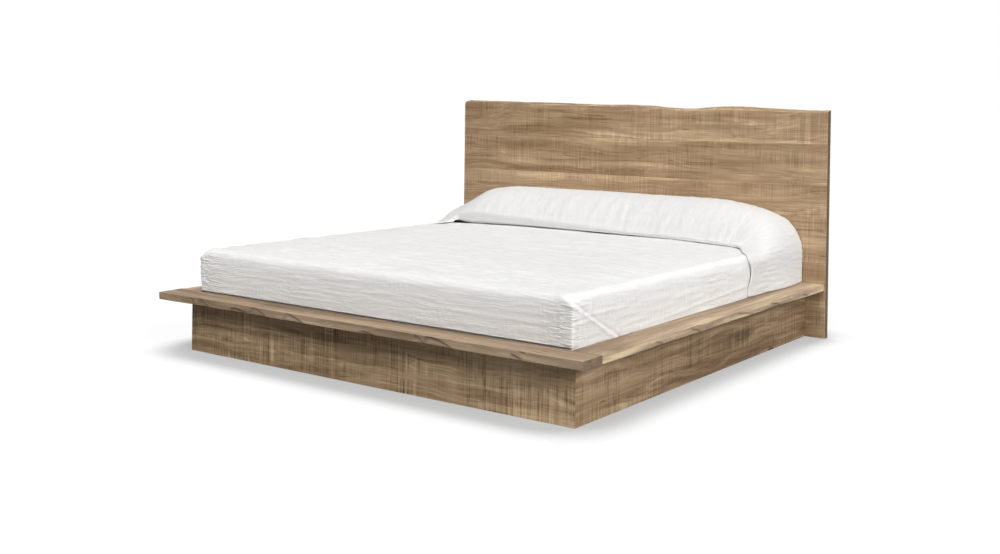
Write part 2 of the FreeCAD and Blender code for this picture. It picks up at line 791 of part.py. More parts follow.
def coverlet():
    """The coverlet: a thin shell over the mattress, open below and at the head."""
    shell = mattress_form(coverlet_allowance).cut(mattress_form(coverlet_gap))
    reach = mattress_width
    kept = block(
        (-reach, reach), (mattress_front - reach, mattress_back),
        (mattress_bottom + coverlet_hem_height, mattress_top + reach),
    )
    return shell.common(kept)


def pillow(side):
    """One pillow: a lens in section that thins towards both ends."""
    base = coverlet_top + pillow_rest_gap
    back = pillow_cover_back - pillow_cover_thickness - pillow_back_gap
    middle = back - pillow_depth / 2
    sections = []
    for along, depth_share, height_share in smoothed(pillow_shares, section_steps):
        x = side * (pillow_middle_gap / 2 + pillow_length * along)
        half_depth = pillow_depth * depth_share / 2
        height = pillow_height * height_share
        seam = base + height * pillow_seam_share
        front_seam = Vector(x, middle - half_depth, seam)
        back_seam = Vector(x, middle + half_depth, seam)
        sections.append(Part.Wire([
            arc(front_seam, Vector(x, middle, base + height), back_seam),
            arc(back_seam, Vector(x, middle, base), front_seam),
        ]))
    return Part.makeLoft(sections, True, True)


def pillow_cover_outline(shares, inset, set_back, bottom):
    """One upright section of the pillow cover's outer form or, with an inset, of the room inside."""
    depth, crest_rise, shoulder_rise, side_rise, bulge = shares
    y = pillow_cover_back - pillow_cover_depth * (1 - depth) + set_back
    grown = coverlet_allowance + pillow_cover_gap + pillow_cover_thickness - inset
    side_x = mattress_half_width + mattress_bulge + grown + pillow_cover_bulge * bulge
    diagonal_inset = inset * math.sqrt(1 / 2)

    roll_centre = mattress_top - mattress_crown - mattress_edge_radius
    roll_turn = math.radians(pillow_cover_roll_angle)
    roll_radius = mattress_edge_radius + grown
    low_shoulder_x = mattress_half_width - mattress_edge_radius + roll_radius * math.cos(roll_turn)
    low_shoulder_z = roll_centre + roll_radius * math.sin(roll_turn)
    high_shoulder_x = side_x + inset - pillow_shoulder_inset - diagonal_inset
    high_shoulder_z = mattress_top + grown + inset + pillow_cover_rise - pillow_shoulder_drop - diagonal_inset
    shoulder_x = between(low_shoulder_x, high_shoulder_x, shoulder_rise)
    shoulder_z = between(low_shoulder_z, high_shoulder_z, shoulder_rise)
    side_top = between(roll_centre, pillow_cover_hem + pillow_side_lift, side_rise)
    crown = mattress_top + grown + pillow_cover_rise * crest_rise
    crest_x = pillow_crest_half_width
    crest_z = crown - mattress_crown * crest_crown_share
    lower_middle_x = between(side_x, shoulder_x, 1 / 2 - lower_bow_share)
    lower_middle_z = between(side_top, shoulder_z, 1 / 2 + lower_bow_share)
    upper_middle_x = between(shoulder_x, crest_x, 1 / 2)
    upper_middle_z = between(shoulder_z, crest_z, 1 / 2 + upper_bow_share)

    def point(x, z):
        return Vector(x, y, z)

    edges = [
        line(point(-side_x, bottom), point(side_x, bottom)),
        arc(point(crest_x, crest_z), point(0, crown), point(-crest_x, crest_z)),
    ]
    for _, side in SIDES:
        side_start = point(side * side_x, side_top)
        shoulder = point(side * shoulder_x, shoulder_z)
        edges += [
            line(point(side * side_x, bottom), side_start),
            arc(side_start, point(side * lower_middle_x, lower_middle_z), shoulder),
            arc(shoulder, point(side * upper_middle_x, upper_middle_z), point(side * crest_x, crest_z)),
        ]
    return Part.Wire(Part.__sortEdges__(edges))


def pillow_cover_form(inset, set_back, bottom):
    """The bulk under the pillow cover: flat on the bed in front of the crease, full over the pillows."""
    bed_row = [pillow_cover_start_share, 0, 0, 0, 0]
    rows = [bed_row] + smoothed(pillow_cover_shares, section_steps)
    return Part.makeLoft([pillow_cover_outline(row, inset, set_back, bottom) for row in rows], True, True)


def pillow_cover():
    """The length of cover drawn over the pillows, hanging to the ledge at both sides. Its front edge
    is the crease across the bed, which turns towards the foot before it goes down the bed's sides."""
    wall = pillow_cover_thickness
    outer = pillow_cover_form(0, 0, pillow_cover_hem)
    room = pillow_cover_form(wall, pillow_cover_set_back, pillow_cover_hem - wall)
    crease_y = pillow_cover_back - pillow_cover_depth
    skirt_y = crease_y - pillow_skirt_reach
    skirt_x = mattress_half_width + mattress_bulge
    half_plan = [
        (pillow_crease_half_width, crease_y), (skirt_x, skirt_y), (mattress_width, skirt_y),
        (mattress_width, pillow_cover_back),
    ]
    plan = half_plan + [(-x, y) for x, y in reversed(half_plan)]
    points = [Vector(x, y, 0) for x, y in plan]
    height = mattress_top + 2 * pillow_cover_rise
    kept = Part.Face(Part.makePolygon(points + points[:1])).extrude(Z_AXIS * height)
    return outer.cut(room).common(kept)


def main():
    os.makedirs(PARTS_FOLDER, exist_ok=True)
    ledge_dowels, ledge_drills = ledge()
    ledger_drills = slat_deck()
    hanger_drills = beam_hangers()
    leg_inserts = centre_support()
    batten_drills = headboard_battens(plank_seams())
    rail_inserts, rail_drills, plank_drills = headboard_bolts()
    plank_dowels = headboard(batten_drills + plank_drills)
    plinth(ledge_drills + ledger_drills + hanger_drills + rail_drills)
    corner_blocks()
    save("dowels", together(ledge_dowels + plank_dowels))
    save("threaded_inserts", together(leg_inserts + rail_inserts))
    save("mattress", mattress_form(0))
    save("coverlet", coverlet())
    for name, side in SIDES:
        save("pillow_" + name, pillow(side))
    save("pillow_cover", pillow_cover())


main()
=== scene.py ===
import math

import bmesh
import bpy
from mathutils import Euler, Matrix, Vector, noise
from mathutils.bvhtree import BVHTree


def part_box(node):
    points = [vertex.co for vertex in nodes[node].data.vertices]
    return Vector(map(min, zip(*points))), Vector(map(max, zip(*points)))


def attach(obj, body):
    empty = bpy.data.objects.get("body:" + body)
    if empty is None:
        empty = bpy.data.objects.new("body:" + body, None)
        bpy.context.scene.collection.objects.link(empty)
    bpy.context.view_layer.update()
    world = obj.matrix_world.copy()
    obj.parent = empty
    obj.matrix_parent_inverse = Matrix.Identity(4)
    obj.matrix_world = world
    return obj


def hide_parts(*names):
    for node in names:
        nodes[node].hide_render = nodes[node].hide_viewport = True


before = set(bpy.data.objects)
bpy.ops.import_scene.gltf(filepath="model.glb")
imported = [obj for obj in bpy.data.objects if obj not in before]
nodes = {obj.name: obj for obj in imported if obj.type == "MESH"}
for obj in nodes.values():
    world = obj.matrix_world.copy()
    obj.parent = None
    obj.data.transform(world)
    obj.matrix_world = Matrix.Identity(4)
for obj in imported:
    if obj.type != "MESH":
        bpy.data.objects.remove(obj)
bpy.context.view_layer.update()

# The platform bed's looks, in metres: sawn timber boards with live edges, a crinkled white coverlet
# tucked round the mattress, and a length of the same cloth drawn over the pillows.

# The camera, at the viewpoint worked out from the photograph's edges
camera_place = Vector((3.0761, -4.3106, 1.0815))
camera_yaw = 0.6305
camera_pitch = 0.0115
camera_roll = 0.0131
camera_lens_mm = 41.43
camera_shift_y = -0.155

# Light levels: 1 is full white on a white surface that faces the lamp
horizon_level = 0.30
zenith_level = 0.64
front_level = 0.47
front_spread = 0.55
side_level = 0.69
side_spread = 0.35
floor_colour = (0.20, 0.20, 0.20, 1)
floor_reach = 30.0
floor_drop = 0.0005

# The floor as the camera sees it: white, with the bed's soft shadow
floor_seen_colour = (0.18, 0.18, 0.182, 1)
floor_glow = 0.83
floor_glow_shaded = 0.40
floor_shade_reach = 0.25
floor_shade_full = 0.70
floor_shade_open = 0.995
floor_shade_lean = 0.3

# Places of the main pieces, from the frame
ledge_low, ledge_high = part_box("ledge_foot")
board_low, board_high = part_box("headboard_plank_6")
cloth_low, cloth_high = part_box("coverlet")
cover_low, cover_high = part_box("pillow_cover")
mattress_low, mattress_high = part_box("mattress")

# The coverlet: the flat top, the roll over its edge and the drop below. The top rises from its edges
# to the crown, more slowly under the pillows
cloth_thickness = 0.004
cloth_stand_off = 0.0045
roll_radius = 0.0385
roll_lead = 0.016
crown_height = 0.018
crown_run = 0.30
crown_reach = 0.32
crown_reach_by_pillows = 0.694
crown_change_y = 0.20
crown_change_run = 0.30
crown_power = 2.2
side_bulge = 0.003
bulge_start = 0.1
bulge_stretch = 1.25
corner_power = 14.0

# Where the pillow cover hangs over the coverlet's sides, which lie flatter there and a little inward
skirt_y = 0.41
skirt_run = 0.05
skirt_flattening = 0.8
skirt_dent = 0.004

# The coverlet's grid: its cells across and along, the length of its finer rows by the ledge, and the
# height over which its creases fade at the tucked edge
top_cells_across = 84
wall_cells = 40
slot_cells = 6
tuck_cells = 4
tuck_fade = 0.03
slot_run = 0.008
fold_cells = 74
fold_stretch = 0.38
top_cells_along = 116

# The folded corner on the bed's sides: how far back it starts at the top and reaches at the ledge,
# and how high its edge, its flap and the groove behind it are
corner_fold_start = -0.06
corner_fold_reach = 0.30
corner_fold_rise = 0.0030
corner_fold_width = 0.008
corner_flap_share = 0.5
corner_flap_run = 0.02
corner_flap_fade = 0.05
corner_groove = 0.004
corner_groove_width = 0.006

# The coverlet's creases: their height, how many there are to a metre along and across them, and a seed
FOOT_CREASES = (0.0028, 4.5, 52.0, 1.0)
SIDE_CREASES = (0.0034, 4.0, 48.0, 2.0)
CORNER_CREASES = (0.0055, 12.0, 70.0, 5.0)
FOLD_PUCKERS = (0.0060, 9.0, 48.0, 3.0)
TOP_CREASES = ((0.0075, 1.8, 13.0, 4.0), (0.0035, 3.5, 34.0, 11.0))
top_drift_height = 0.0020
top_drift_scale = 2.2
corner_crease_reach = 0.07
corner_crease_wrap = 0.06
pucker_reach = 0.07

# The long pull in the side, which rises slowly from the ledge behind the folded corner
pull_height = 0.0025
pull_width = 0.006
pull_above_ledge = 0.010
pull_slope = 0.045
pull_level_back = 0.45
pull_start_back = 0.40
pull_start_run = 0.12

# The shadow gap between the coverlet and the ledge at the foot, how far above the ledge the mattress
# starts to make room for it, and how far back
foot_slot = 0.022
foot_slot_height = 0.005
slot_below_ledge = 0.002
mattress_slot_top = 0.035
mattress_slot_run = 0.027
mattress_slot_back = 0.05

# The pillow cover: the place of its crease, how far it turns towards the foot on its way down the
# sides, and the roll of its front edge
crease_y = 0.6475
crease_half_width = 0.825
crease_tilt = 0.022
crease_wander = 0.004
skirt_reach = 0.185
skirt_wave = 0.022
skirt_wave_height = 0.37
cover_thickness = 0.003
cover_nose = 0.014
cover_hem_nose = 0.06
cover_hem_height = 0.335
cover_close_height = 0.28
cover_change_run = 0.05
cover_least_gap = 0.0008
cover_clearance = 0.0045
cover_overhang = 0.008
cover_overhang_back = 0.012
cover_overhang_width = 0.008
cover_full_from = 0.02
cover_full_run = 0.12
cover_lift = 0.012
cover_lift_x = -0.83
cover_lift_run = 0.05
COVER_CREASES = (0.0035, 5.0, 30.0, 8.0)
cover_wave_height = 0.0035
cover_wave_scale = 4
cover_swell = 0.006
cover_swell_reach = 0.024
shoulder_x = 0.80
shoulder_z = 0.42
cover_smooth_above = 0.31
cover_top_cells = 90
cover_shoulder_cells = 60
cover_side_cells = 34
cover_cells_along = 66
cover_row_spread = 1.3
cover_smoothings = 4
shoulder_smoothings = 24
crease_tries = 14
crease_blend = 4
cover_back_gap = 0.001
cover_search_step = 0.005
cover_search_steps = 60
cover_across = 2.46
cover_along = 0.62

# The left end of the pillows has settled lower than the right one, which is full to its shoulder
settled_share = 0.32
settled_from = 0.72
settled_run = 0.20
raised_share = 0.06
raised_x = 0.86
raised_run = 0.10

# Padded pieces. The pad's steps are its cells' lengths, and a normal that leans up by more than
# top_facing is on its top
pillow_shrink = 0.007
pillow_swell_limit = 0.009
pillow_voxel = 0.008
pillow_pressure = 4.0
pillow_steps = 20
quilt_pitch = 0.19
quilt_depth = 0.004
pad_step = 0.032
pad_step_up = 0.009
tape_groove_depth = 0.003
tape_groove_width = 0.005
tape_groove_low = 0.022
tape_groove_high = 0.075
border_channel_width = 0.09
top_facing = 0.7
least_padding_gap = 0.0006
least_cloth_gap = 0.0008

# Boards: the width of their softened arrises
headboard_arris = 0.0008
plinth_arris = 0.0012

# The ledge's live edges: the length of their cells, their rows, how far in the work reaches, their
# ripple, the rounding of their upper arris from a share of the height up, and how much sapwood shows
edge_step = 0.006
edge_rows = 12
edge_face_depth = 0.014
edge_ripple = 0.001
edge_rounding = 0.0015
edge_rounding_from = 0.9
sapwood_mean = 0.75

# The headboard's live top edge: its ripple, how far that reaches down and keeps from the ends, how
# steeply its bevel rises at least, and how dark the bevel is
top_edge_ripple = 0.0016
top_edge_depth = 0.06
top_edge_end = 0.03
bevel_slope = 0.12
bevel_darkness = 0.6

# Directions
ACROSS = Vector((1, 0, 0))
ALONG = Vector((0, 1, 0))
UP = Vector((0, 0, 1))

# Colours, linear
linen = (0.82, 0.816, 0.808, 1)
# The second linen colour is painted shade, which the cloth is mixed towards along its creases
linen_painted_shade = (0.74, 0.735, 0.725, 1)
ticking = (0.80, 0.79, 0.75, 1)


def in_scene(name, data):
    """A new object in the scene."""
    holder = bpy.data.objects.new(name, data)
    bpy.context.scene.collection.objects.link(holder)
    return holder


def from_bmesh(name, bm, materials, smooth=True):
    """Turns a bmesh into a piece."""
    mesh = bpy.data.meshes.new(name)
    bm.to_mesh(mesh)
    bm.free()
    for face in mesh.polygons:
        face.use_smooth = smooth
    for material in materials:
        mesh.materials.append(material)
    return in_scene(name, mesh)


def eased(value):
    """A smooth step from 0 to 1."""
    value = min(max(value, 0.0), 1.0)
    return value * value * (3 - 2 * value)


def between(low, high, share):
    return low + (high - low) * share


def bell(distance, width):
    """1 at no distance, falling away smoothly over a width."""
    return math.exp(-(distance / width) ** 2)


def wander(x, y, z):
    """Smooth noise about zero."""
    return noise.noise(Vector((x, y, z)))


def feed(node, inputs):
    """Sets a node's inputs, each to a plain value or to another node's output."""
    for key, value in inputs.items():
        if isinstance(value, bpy.types.NodeSocket):
            node.id_data.links.new(value, node.inputs[key])
        else:
            node.inputs[key].default_value = value


def add(tree, kind, inputs=None, **settings):
    """Adds a shader node to a tree, which the values from the node then know as their id_data."""
    node = tree.nodes.new("ShaderNode" + kind)
    for key, value in settings.items():
        setattr(node, key, value)
    feed(node, inputs or {})
    return node


def maths(operation, first, second=0.0):
    """Reckons with two values, of which at least one is a node's output."""
    tree = (first if isinstance(first, bpy.types.NodeSocket) else second).id_data
    return add(tree, "Math", {0: first, 1: second}, operation=operation).outputs[0]


def plus(first, second):
    return maths("ADD", first, second)


def minus(first, second):
    return maths("SUBTRACT", first, second)


def times(first, second):
    return maths("MULTIPLY", first, second)


def size_of(value):
    return maths("ABSOLUTE", value)


def remap(value, low, high, new_low=0.0, new_high=1.0):
    """Stretches a range of values to another one, and stops at its ends."""
    inputs = {"Value": value, "From Min": low, "From Max": high, "To Min": new_low, "To Max": new_high}
    return add(value.id_data, "MapRange", inputs, clamp=True).outputs[0]


def summed(total, *parts):
    """Adds parts to a total, each with its weight."""
    for part, weight in parts:
        total = plus(total, times(part, weight))
    return total


def thin_lines(value, width, mask):
    """Lines where a value passes zero, as wide as the given share of its range."""
    return times(remap(size_of(value), 0.0, width, 1.0, 0.0), mask)


def mixed(share, first, second):
    """A share of the second colour mixed into the first."""
    return add(share.id_data, "Mix", {0: share, 6: first, 7: second}, data_type="RGBA").outputs[2]


def own_place(tree):
    """Places on the piece itself."""
    return add(tree, "TexCoord").outputs["Object"]


def stretched(place, scale, offset=(0, 0, 0)):
    """A place with each axis scaled by itself."""
    return add(place.id_data, "Mapping", {"Vector": place, "Scale": scale, "Location": offset}).outputs[0]


def moved(place, shifts):
    """A place moved by a value along each axis that is given."""
    shift = add(place.id_data, "CombineXYZ", shifts).outputs[0]
    return add(place.id_data, "VectorMath", {0: place, 1: shift}, operation="ADD").outputs[0]


def noise_at(place, scale, detail=3.0, roughness=0.55, distortion=0.0, offset=(0, 0, 0)):
    """Noise with its own scale on each axis."""
    inputs = {
        "Vector": stretched(place, scale, offset), "Scale": 1.0, "Detail": detail,
        "Roughness": roughness, "Distortion": distortion,
    }
    return add(place.id_data, "TexNoise", inputs).outputs[0]


def spots(place, scale, inner, outer, strength=1.0, offset=(0, 0, 0)):
    """Scattered spots, which fade between their inner and outer radius."""
    inputs = {"Vector": stretched(place, scale, offset), "Scale": 1.0}
    cells = add(place.id_data, "TexVoronoi", inputs)
    return remap(cells.outputs["Distance"], inner, outer, strength, 0.0)


def threads(place, scale, distortion, direction):
    """The ridges of a weave's threads."""
    inputs = {"Vector": place, "Scale": scale, "Distortion": distortion}
    return add(place.id_data, "TexWave", inputs, bands_direction=direction).outputs["Fac"]


def bumps(height, distance, strength=1.0):
    inputs = {"Height": height, "Distance": distance, "Strength": strength}
    return add(height.id_data, "Bump", inputs).outputs[0]


def dimmed(colour, share):
    return tuple(channel * share for channel in colour[:3]) + (1,)


def surface(name):
    """A new material: its node tree and its shader."""
    material = bpy.data.materials.new(name)
    material.use_nodes = True
    tree = material.node_tree
    return material, tree, tree.nodes["Principled BSDF"]


# How the grain of a board lies: the turn that brings it onto the pattern's X axis
GRAIN_TURNS = {"X": (0, 0, 0), "Y": (0, 0, -math.pi / 2), "Z": (0, math.pi / 2, 0)}

# Each timber: its colours from dark streaks to pale sapwood, how strongly it shows its streaks, its
# growth lines and the marks of the saw, how pale it is (its tone), how much paler it gets with each
# metre towards +X and +Y (its drift), and how bright its end grain is. Boards may add their own
HEADBOARD_LOOK = {
    "colours": (
        (0.13, 0.075, 0.034, 1), (0.26, 0.163, 0.085, 1), (0.375, 0.253, 0.147, 1),
        (0.51, 0.36, 0.217, 1), (0.73, 0.55, 0.33, 1),
    ),
    "streaks": 0.75, "lines": 0.20, "saw": 0.7, "tone": 0.025, "drift": (0.06, 0.0), "end_share": 0.4,
}
LEDGE_LOOK = {
    "colours": (
        (0.12, 0.075, 0.040, 1), (0.24, 0.165, 0.102, 1), (0.355, 0.255, 0.170, 1),
        (0.48, 0.365, 0.245, 1), (0.70, 0.55, 0.345, 1),
    ),
    "streaks": 0.8, "lines": 0.15, "saw": 0.10, "drift": (0.0, 0.0), "end_share": 0.65,
}
PLINTH_LOOK = {
    "colours": (
        (0.060, 0.034, 0.015, 1), (0.175, 0.108, 0.054, 1), (0.290, 0.195, 0.109, 1),
        (0.41, 0.29, 0.170, 1), (0.58, 0.43, 0.260, 1),
    ),
    "streaks": 0.95, "lines": 0.12,
}
COLOUR_STOPS = (0.12, 0.34, 0.52, 0.68, 0.86)


def along_grain(place, grain, start):
    """A place with the grain turned onto X, in a stretch of grain of its own."""
    inputs = {"Vector": place, "Rotation": GRAIN_TURNS[grain]}
    turned = add(place.id_data, "Mapping", inputs).outputs[0]
    return stretched(turned, (1, 1, 1), start)


def sawn_timber(name, look, grain, seed):
    """Oiled, weathered timber: wavy streaks, growth lines, pale sapwood bands, knots, short cracks and,
    across the grain, the marks that the saw left."""
    material, tree, shader = surface(name)
    place = own_place(tree)
    straight = along_grain(place, grain, (seed * 3.7, seed * 1.9, seed * 2.3))
    sway = times(minus(noise_at(straight, (1.3, 4.5, 4.5), 2.0), 0.5), 0.12)
    warped = moved(straight, {1: sway, 2: sway})

    def centred(scale, offset, detail, roughness=0.55, source=warped):
        """Noise about zero, stretched along the grain."""
        return minus(noise_at(source, scale, detail, roughness, offset=offset), 0.5)

    broad = centred((0.8, 6.5, 6.5), (0, 0, 0), 2.0)
    streaks = centred((1.5, 34.0, 34.0), (4, 1, 1), 5.0, 0.65)
    fibre = centred((5.0, 170.0, 170.0), (1, 3, 5), 3.0, 0.6)
    figure = centred((0.6, 16.0, 16.0), (8, 2, 6), 3.0, 0.5)
    ring_mask = remap(centred((1.2, 6.0, 6.0), (2, 9, 4), 1.0), -0.02, 0.10)
    ring_lines = thin_lines(figure, 0.018, ring_mask)
    pale_mask = remap(centred((1.0, 5.0, 5.0), (6, 1, 3), 1.0), -0.02, 0.08)
    pale_lines = thin_lines(centred((0.5, 10.0, 10.0), (3, 7, 1), 3.0, 0.5), 0.014, pale_mask)
    sapwood = remap(centred((0.45, 8.5, 8.5), (5, 5, 5), 2.0, 0.45), 0.10, 0.135)

    saw = centred((110.0, 2.2, 2.2), (0, 0, 0), 3.0, 0.7, straight)
    saw_mask = remap(centred((3.0, 9.0, 9.0), (2, 8, 6), 2.0, 0.5, straight), -0.04, 0.08, 0.12, 1.0)
    score_mask = remap(centred((6.0, 9.0, 9.0), (4, 2, 9), 2.0, 0.5, straight), 0.0, 0.08)
    scores = thin_lines(centred((60.0, 2.5, 2.5), (7, 3, 2), 2.0, 0.6, straight), 0.030, score_mask)
    saw_marks = times(summed(times(saw, saw_mask), (scores, -0.16)), look["saw"])

    knots = spots(warped, (1.9, 4.2, 4.2), 0.03, 0.09)
    cracks = spots(warped, (4.5, 42.0, 42.0), 0.06, 0.13, offset=(3, 1, 2))
    crack_mask = remap(centred((2.2, 7.0, 7.0), (9, 2, 4), 1.0), 0.07, 0.11)
    marks = maths("MAXIMUM", knots, times(cracks, crack_mask))
    # The bark attribute darkens the timber: painted shadow under the ledge flakes' lips, and the middle
    # of the headboard's bevel
    bark = add(tree, "Attribute", attribute_name="bark").outputs["Fac"]
    marks = maths("MAXIMUM", marks, bark)

    live_edge = add(tree, "Attribute", attribute_name="sapwood").outputs["Fac"]
    x, y, _ = add(tree, "SeparateXYZ", {0: place}).outputs
    tone = summed(
        0.5 + look["tone"], (x, look["drift"][0]), (y, look["drift"][1]), (broad, 0.6),
        (streaks, look["streaks"]), (fibre, 0.4), (saw_marks, 0.95), (sapwood, 0.10), (live_edge, 0.20),
        (pale_lines, 0.13), (ring_lines, -look["lines"]), (marks, -0.42),
    )
    ramp = add(tree, "ValToRGB", {"Fac": tone})
    stops = ramp.color_ramp.elements
    stops[0].position = COLOUR_STOPS[0]
    stops[1].position = COLOUR_STOPS[-1]
    for position in COLOUR_STOPS[1:-1]:
        stops.new(position)
    for stop, colour in zip(stops, look["colours"]):
        stop.color = colour
    height = summed(times(fibre, 0.5), (saw_marks, 0.9), (marks, -0.8), (ring_lines, -0.15))
    feed(shader, {
        "Base Color": ramp.outputs["Color"], "Roughness": remap(fibre, -0.2, 0.2, 0.62, 0.8),
        "Specular IOR Level": 0.3, "Normal": bumps(height, 0.0014, 0.8),
    })
    return material


def end_grain(name, look, seed):
    """Sawn end grain: fine pores and faint growth rings."""
    material, tree, shader = surface(name)
    place = stretched(own_place(tree), (1, 1, 1), (seed, seed * 2, seed * 3))
    rings = noise_at(place, (30, 30, 55))
    pores = noise_at(place, (420, 420, 420), 2.0)
    dark, shade, middle = [dimmed(colour, look["end_share"]) for colour in look["colours"][:3]]
    body = mixed(remap(rings, 0.35, 0.65), shade, middle)
    body = mixed(remap(pores, 0.45, 0.7, 0.0, 0.6), body, dark)
    feed(shader, {"Base Color": body, "Roughness": 0.85, "Normal": bumps(pores, 0.0006)})
    return material


def plain_softwood(name, grain, seed, tint):
    """Planed pine for what the bedding hides."""
    material, tree, shader = surface(name)
    place = along_grain(own_place(tree), grain, (seed * 2.1, seed, seed * 1.3))
    rings = noise_at(place, (0.8, 22.0, 22.0), 3.0, 0.5, 0.3)
    fibre = noise_at(place, (4.0, 240.0, 240.0), 2.0)
    late_wood = dimmed(tint, 0.72)
    lines = remap(maths("FRACT", times(rings, 9.0)), 0.7, 1.0)
    body = mixed(times(lines, 0.6), tint, late_wood)
    body = mixed(remap(fibre, 0.4, 0.7, 0.0, 0.25), body, late_wood)
    body = mixed(spots(place, (1.7, 8.0, 8.0), 0.05, 0.11, 0.8), body, (0.25, 0.13, 0.06, 1))
    roughness = remap(fibre, 0.3, 0.7, 0.5, 0.66)
    feed(shader, {"Base Color": body, "Roughness": roughness, "Normal": bumps(fibre, 0.0004)})
    return material


def plated_steel(name, tint, roughness, mottle_scale):
    """Plated steel with a faint mottle."""
    material, tree, shader = surface(name)
    mottle = noise_at(own_place(tree), (mottle_scale, mottle_scale, mottle_scale), 4.0)
    feed(shader, {
        "Base Color": mixed(remap(mottle, 0.35, 0.7), tint, dimmed(tint, 0.7)),
        "Roughness": remap(mottle, 0.3, 0.7, roughness, roughness + 0.18),
        "Metallic": 1.0, "Normal": bumps(mottle, 0.0002),
    })
    return material


def crinkled_gauze(name, long_scale, cross_scale, strength, paleness, hanging_share, shading, bunched):
    """White double gauze: a soft weave with long shallow creases along the cloth's own U axis, which
    are pulled flatter, to the given share, where it hangs down. Where it is gathered round a corner
    they go by the height instead. The creases are darkened with painted shade: shading is how much
    darker they are, and bunched is how much deeper they are by the corners on the foot side."""
    material, tree, shader = surface(name)
    place = add(tree, "UVMap", uv_map="cloth").outputs[0]
    drift = noise_at(place, (3.0, 3.0, 1.0), 2.0)
    wandering = moved(place, {1: times(drift, 0.05)})
    crinkles = noise_at(wandering, (long_scale, cross_scale, 1.0), 3.0, 0.6, 0.2)
    cross = noise_at(place, (cross_scale * 0.9, long_scale * 1.5, 1.0), 2.0, offset=(4, 4, 0))
    cross_spread = noise_at(place, (2.5, 4.0, 1.0), 1.0, offset=(7, 1, 0))

    across, along, _ = add(tree, "SeparateXYZ", {0: place}).outputs
    on_top = remap(size_of(across), top_half_width, top_half_width + 0.08, 1.0, 0.0)
    before_foot = remap(along, foot_line - 0.08, foot_line)
    past_side = minus(size_of(across), top_half_width)
    past_foot = minus(foot_line, along)
    on_foot = remap(past_foot, 0.04, 0.07)
    near_corner = times(on_foot, remap(past_side, -0.10, -0.01))
    depth = remap(times(on_top, before_foot), 0.0, 1.0, hanging_share, 1.0)
    depth = times(depth, remap(near_corner, 0.0, 1.0, 1.0, bunched))

    gathered = remap(maths("MINIMUM", past_side, past_foot), 0.0, 0.015)
    ungathered = minus(1.0, gathered)
    round_corner = noise_at(own_place(tree), (9, 9, 62), 3.0, 0.6)
    crinkles = plus(crinkles, times(gathered, minus(round_corner, crinkles)))
    creases = size_of(minus(crinkles, 0.5))
    # Painted shade: along the creases the linen is mixed towards its darker shade colour
    painted_crease_shade = times(remap(creases, 0.0, 0.11, shading, 0.0), depth)
    cross_mask = times(remap(cross_spread, 0.45, 0.62), ungathered)
    cross_creases = times(size_of(minus(cross, 0.5)), cross_mask)
    weave = plus(threads(place, 95.0, 1.2, "X"), threads(place, 95.0, 1.2, "Y"))
    weave = times(weave, ungathered)
    height = summed(times(times(creases, depth), 2.2), (cross_creases, 1.3), (weave, 0.07))
    feed(shader, {
        "Base Color": mixed(painted_crease_shade, dimmed(linen, paleness), dimmed(linen_painted_shade, paleness)),
        "Roughness": remap(crinkles, 0.3, 0.7, 0.86, 0.95), "Sheen Weight": 0.12,
        "Sheen Roughness": 0.6, "Specular IOR Level": 0.2, "Normal": bumps(height, strength),
    })
    return material


def quilted_ticking(name):
    """The mattress's and pillows' cotton: a fine twill with soft mottling."""
    material, tree, shader = surface(name)
    place = own_place(tree)
    twill = threads(place, 120.0, 0.8, "DIAGONAL")
    mottle = noise_at(place, (9, 9, 9))
    shade = dimmed(ticking, 0.86)
    body = mixed(remap(mottle, 0.4, 0.65, 0.0, 0.5), ticking, shade)
    body = mixed(times(twill, 0.25), body, shade)
    roughness = remap(mottle, 0.3, 0.7, 0.82, 0.92)
    feed(shader, {"Base Color": body, "Roughness": roughness, "Normal": bumps(twill, 0.0005)})
    return material


# Boards
def bmesh_of(mesh):
    bm = bmesh.new()
    bm.from_mesh(mesh)
    return bm


def board_copy(node):
    """A board's own mesh with its triangles joined up, ready for its arrises to be worked."""
    bm = bmesh_of(nodes[node].data)
    bmesh.ops.remove_doubles(bm, verts=bm.verts, dist=0.00002)
    bmesh.ops.dissolve_limit(
        bm, angle_limit=math.radians(0.4), verts=bm.verts, edges=bm.edges, delimit={"NORMAL"},
    )
    return bm


def soften_arrises(bm, width, shortest=0.06):
    """Takes the sharpness off a board's long arrises."""
    sharp = [
        edge for edge in bm.edges
        if len(edge.link_faces) == 2 and edge.calc_length() > shortest and edge.calc_face_angle() > 0.5
    ]
    bmesh.ops.bevel(
        bm, geom=sharp, offset=width, offset_type="OFFSET", segments=2, profile=0.5, affect="EDGES",
        material=-1, clamp_overlap=True,
    )


def cut_across(bm, axis, low, high, parts):
    """Cuts a mesh into equal parts along an axis."""
    for i in range(1, parts):
        geometry = bm.verts[:] + bm.edges[:] + bm.faces[:]
        place = axis * (low + (high - low) * i / parts)
        bmesh.ops.bisect_plane(bm, geom=geometry, plane_co=place, plane_no=axis, dist=0.000001)


def mark_ends(bm, lengthwise):
    """Gives a board's ends its second material."""
    for face in bm.faces:
        if abs(face.normal.dot(lengthwise)) > 0.9:
            face.material_index = 1


# Flakes that the bark took off the live edges. The upper limit of each falls from the edge's upper
# arris to its lower one: where it starts along the board, how far it runs, how high up the edge it
# starts, as a share of the edge, and how deep it is
FOOT_FLAKES = (
    (-0.885, 0.03, 1.00, 0.002), (-0.83, 0.06, 0.95, 0.006), (-0.62, 0.09, 0.55, 0.006),
    (-0.50, 0.08, 1.00, 0.006), (-0.30, 0.10, 0.90, 0.006), (0.10, 0.08, 0.30, 0.003),
    (0.37, 0.04, 0.90, 0.004), (0.43, 0.12, 1.00, 0.006), (0.80, 0.05, 0.60, 0.003),
)
SIDE_FLAKES = (
    (-0.62, 0.08, 0.55, 0.0015), (-0.34, 0.10, 0.75, 0.0020), (0.07, 0.20, 0.80, 0.0020),
    (0.42, 0.14, 0.75, 0.0020), (0.80, 0.07, 0.50, 0.0015),
)
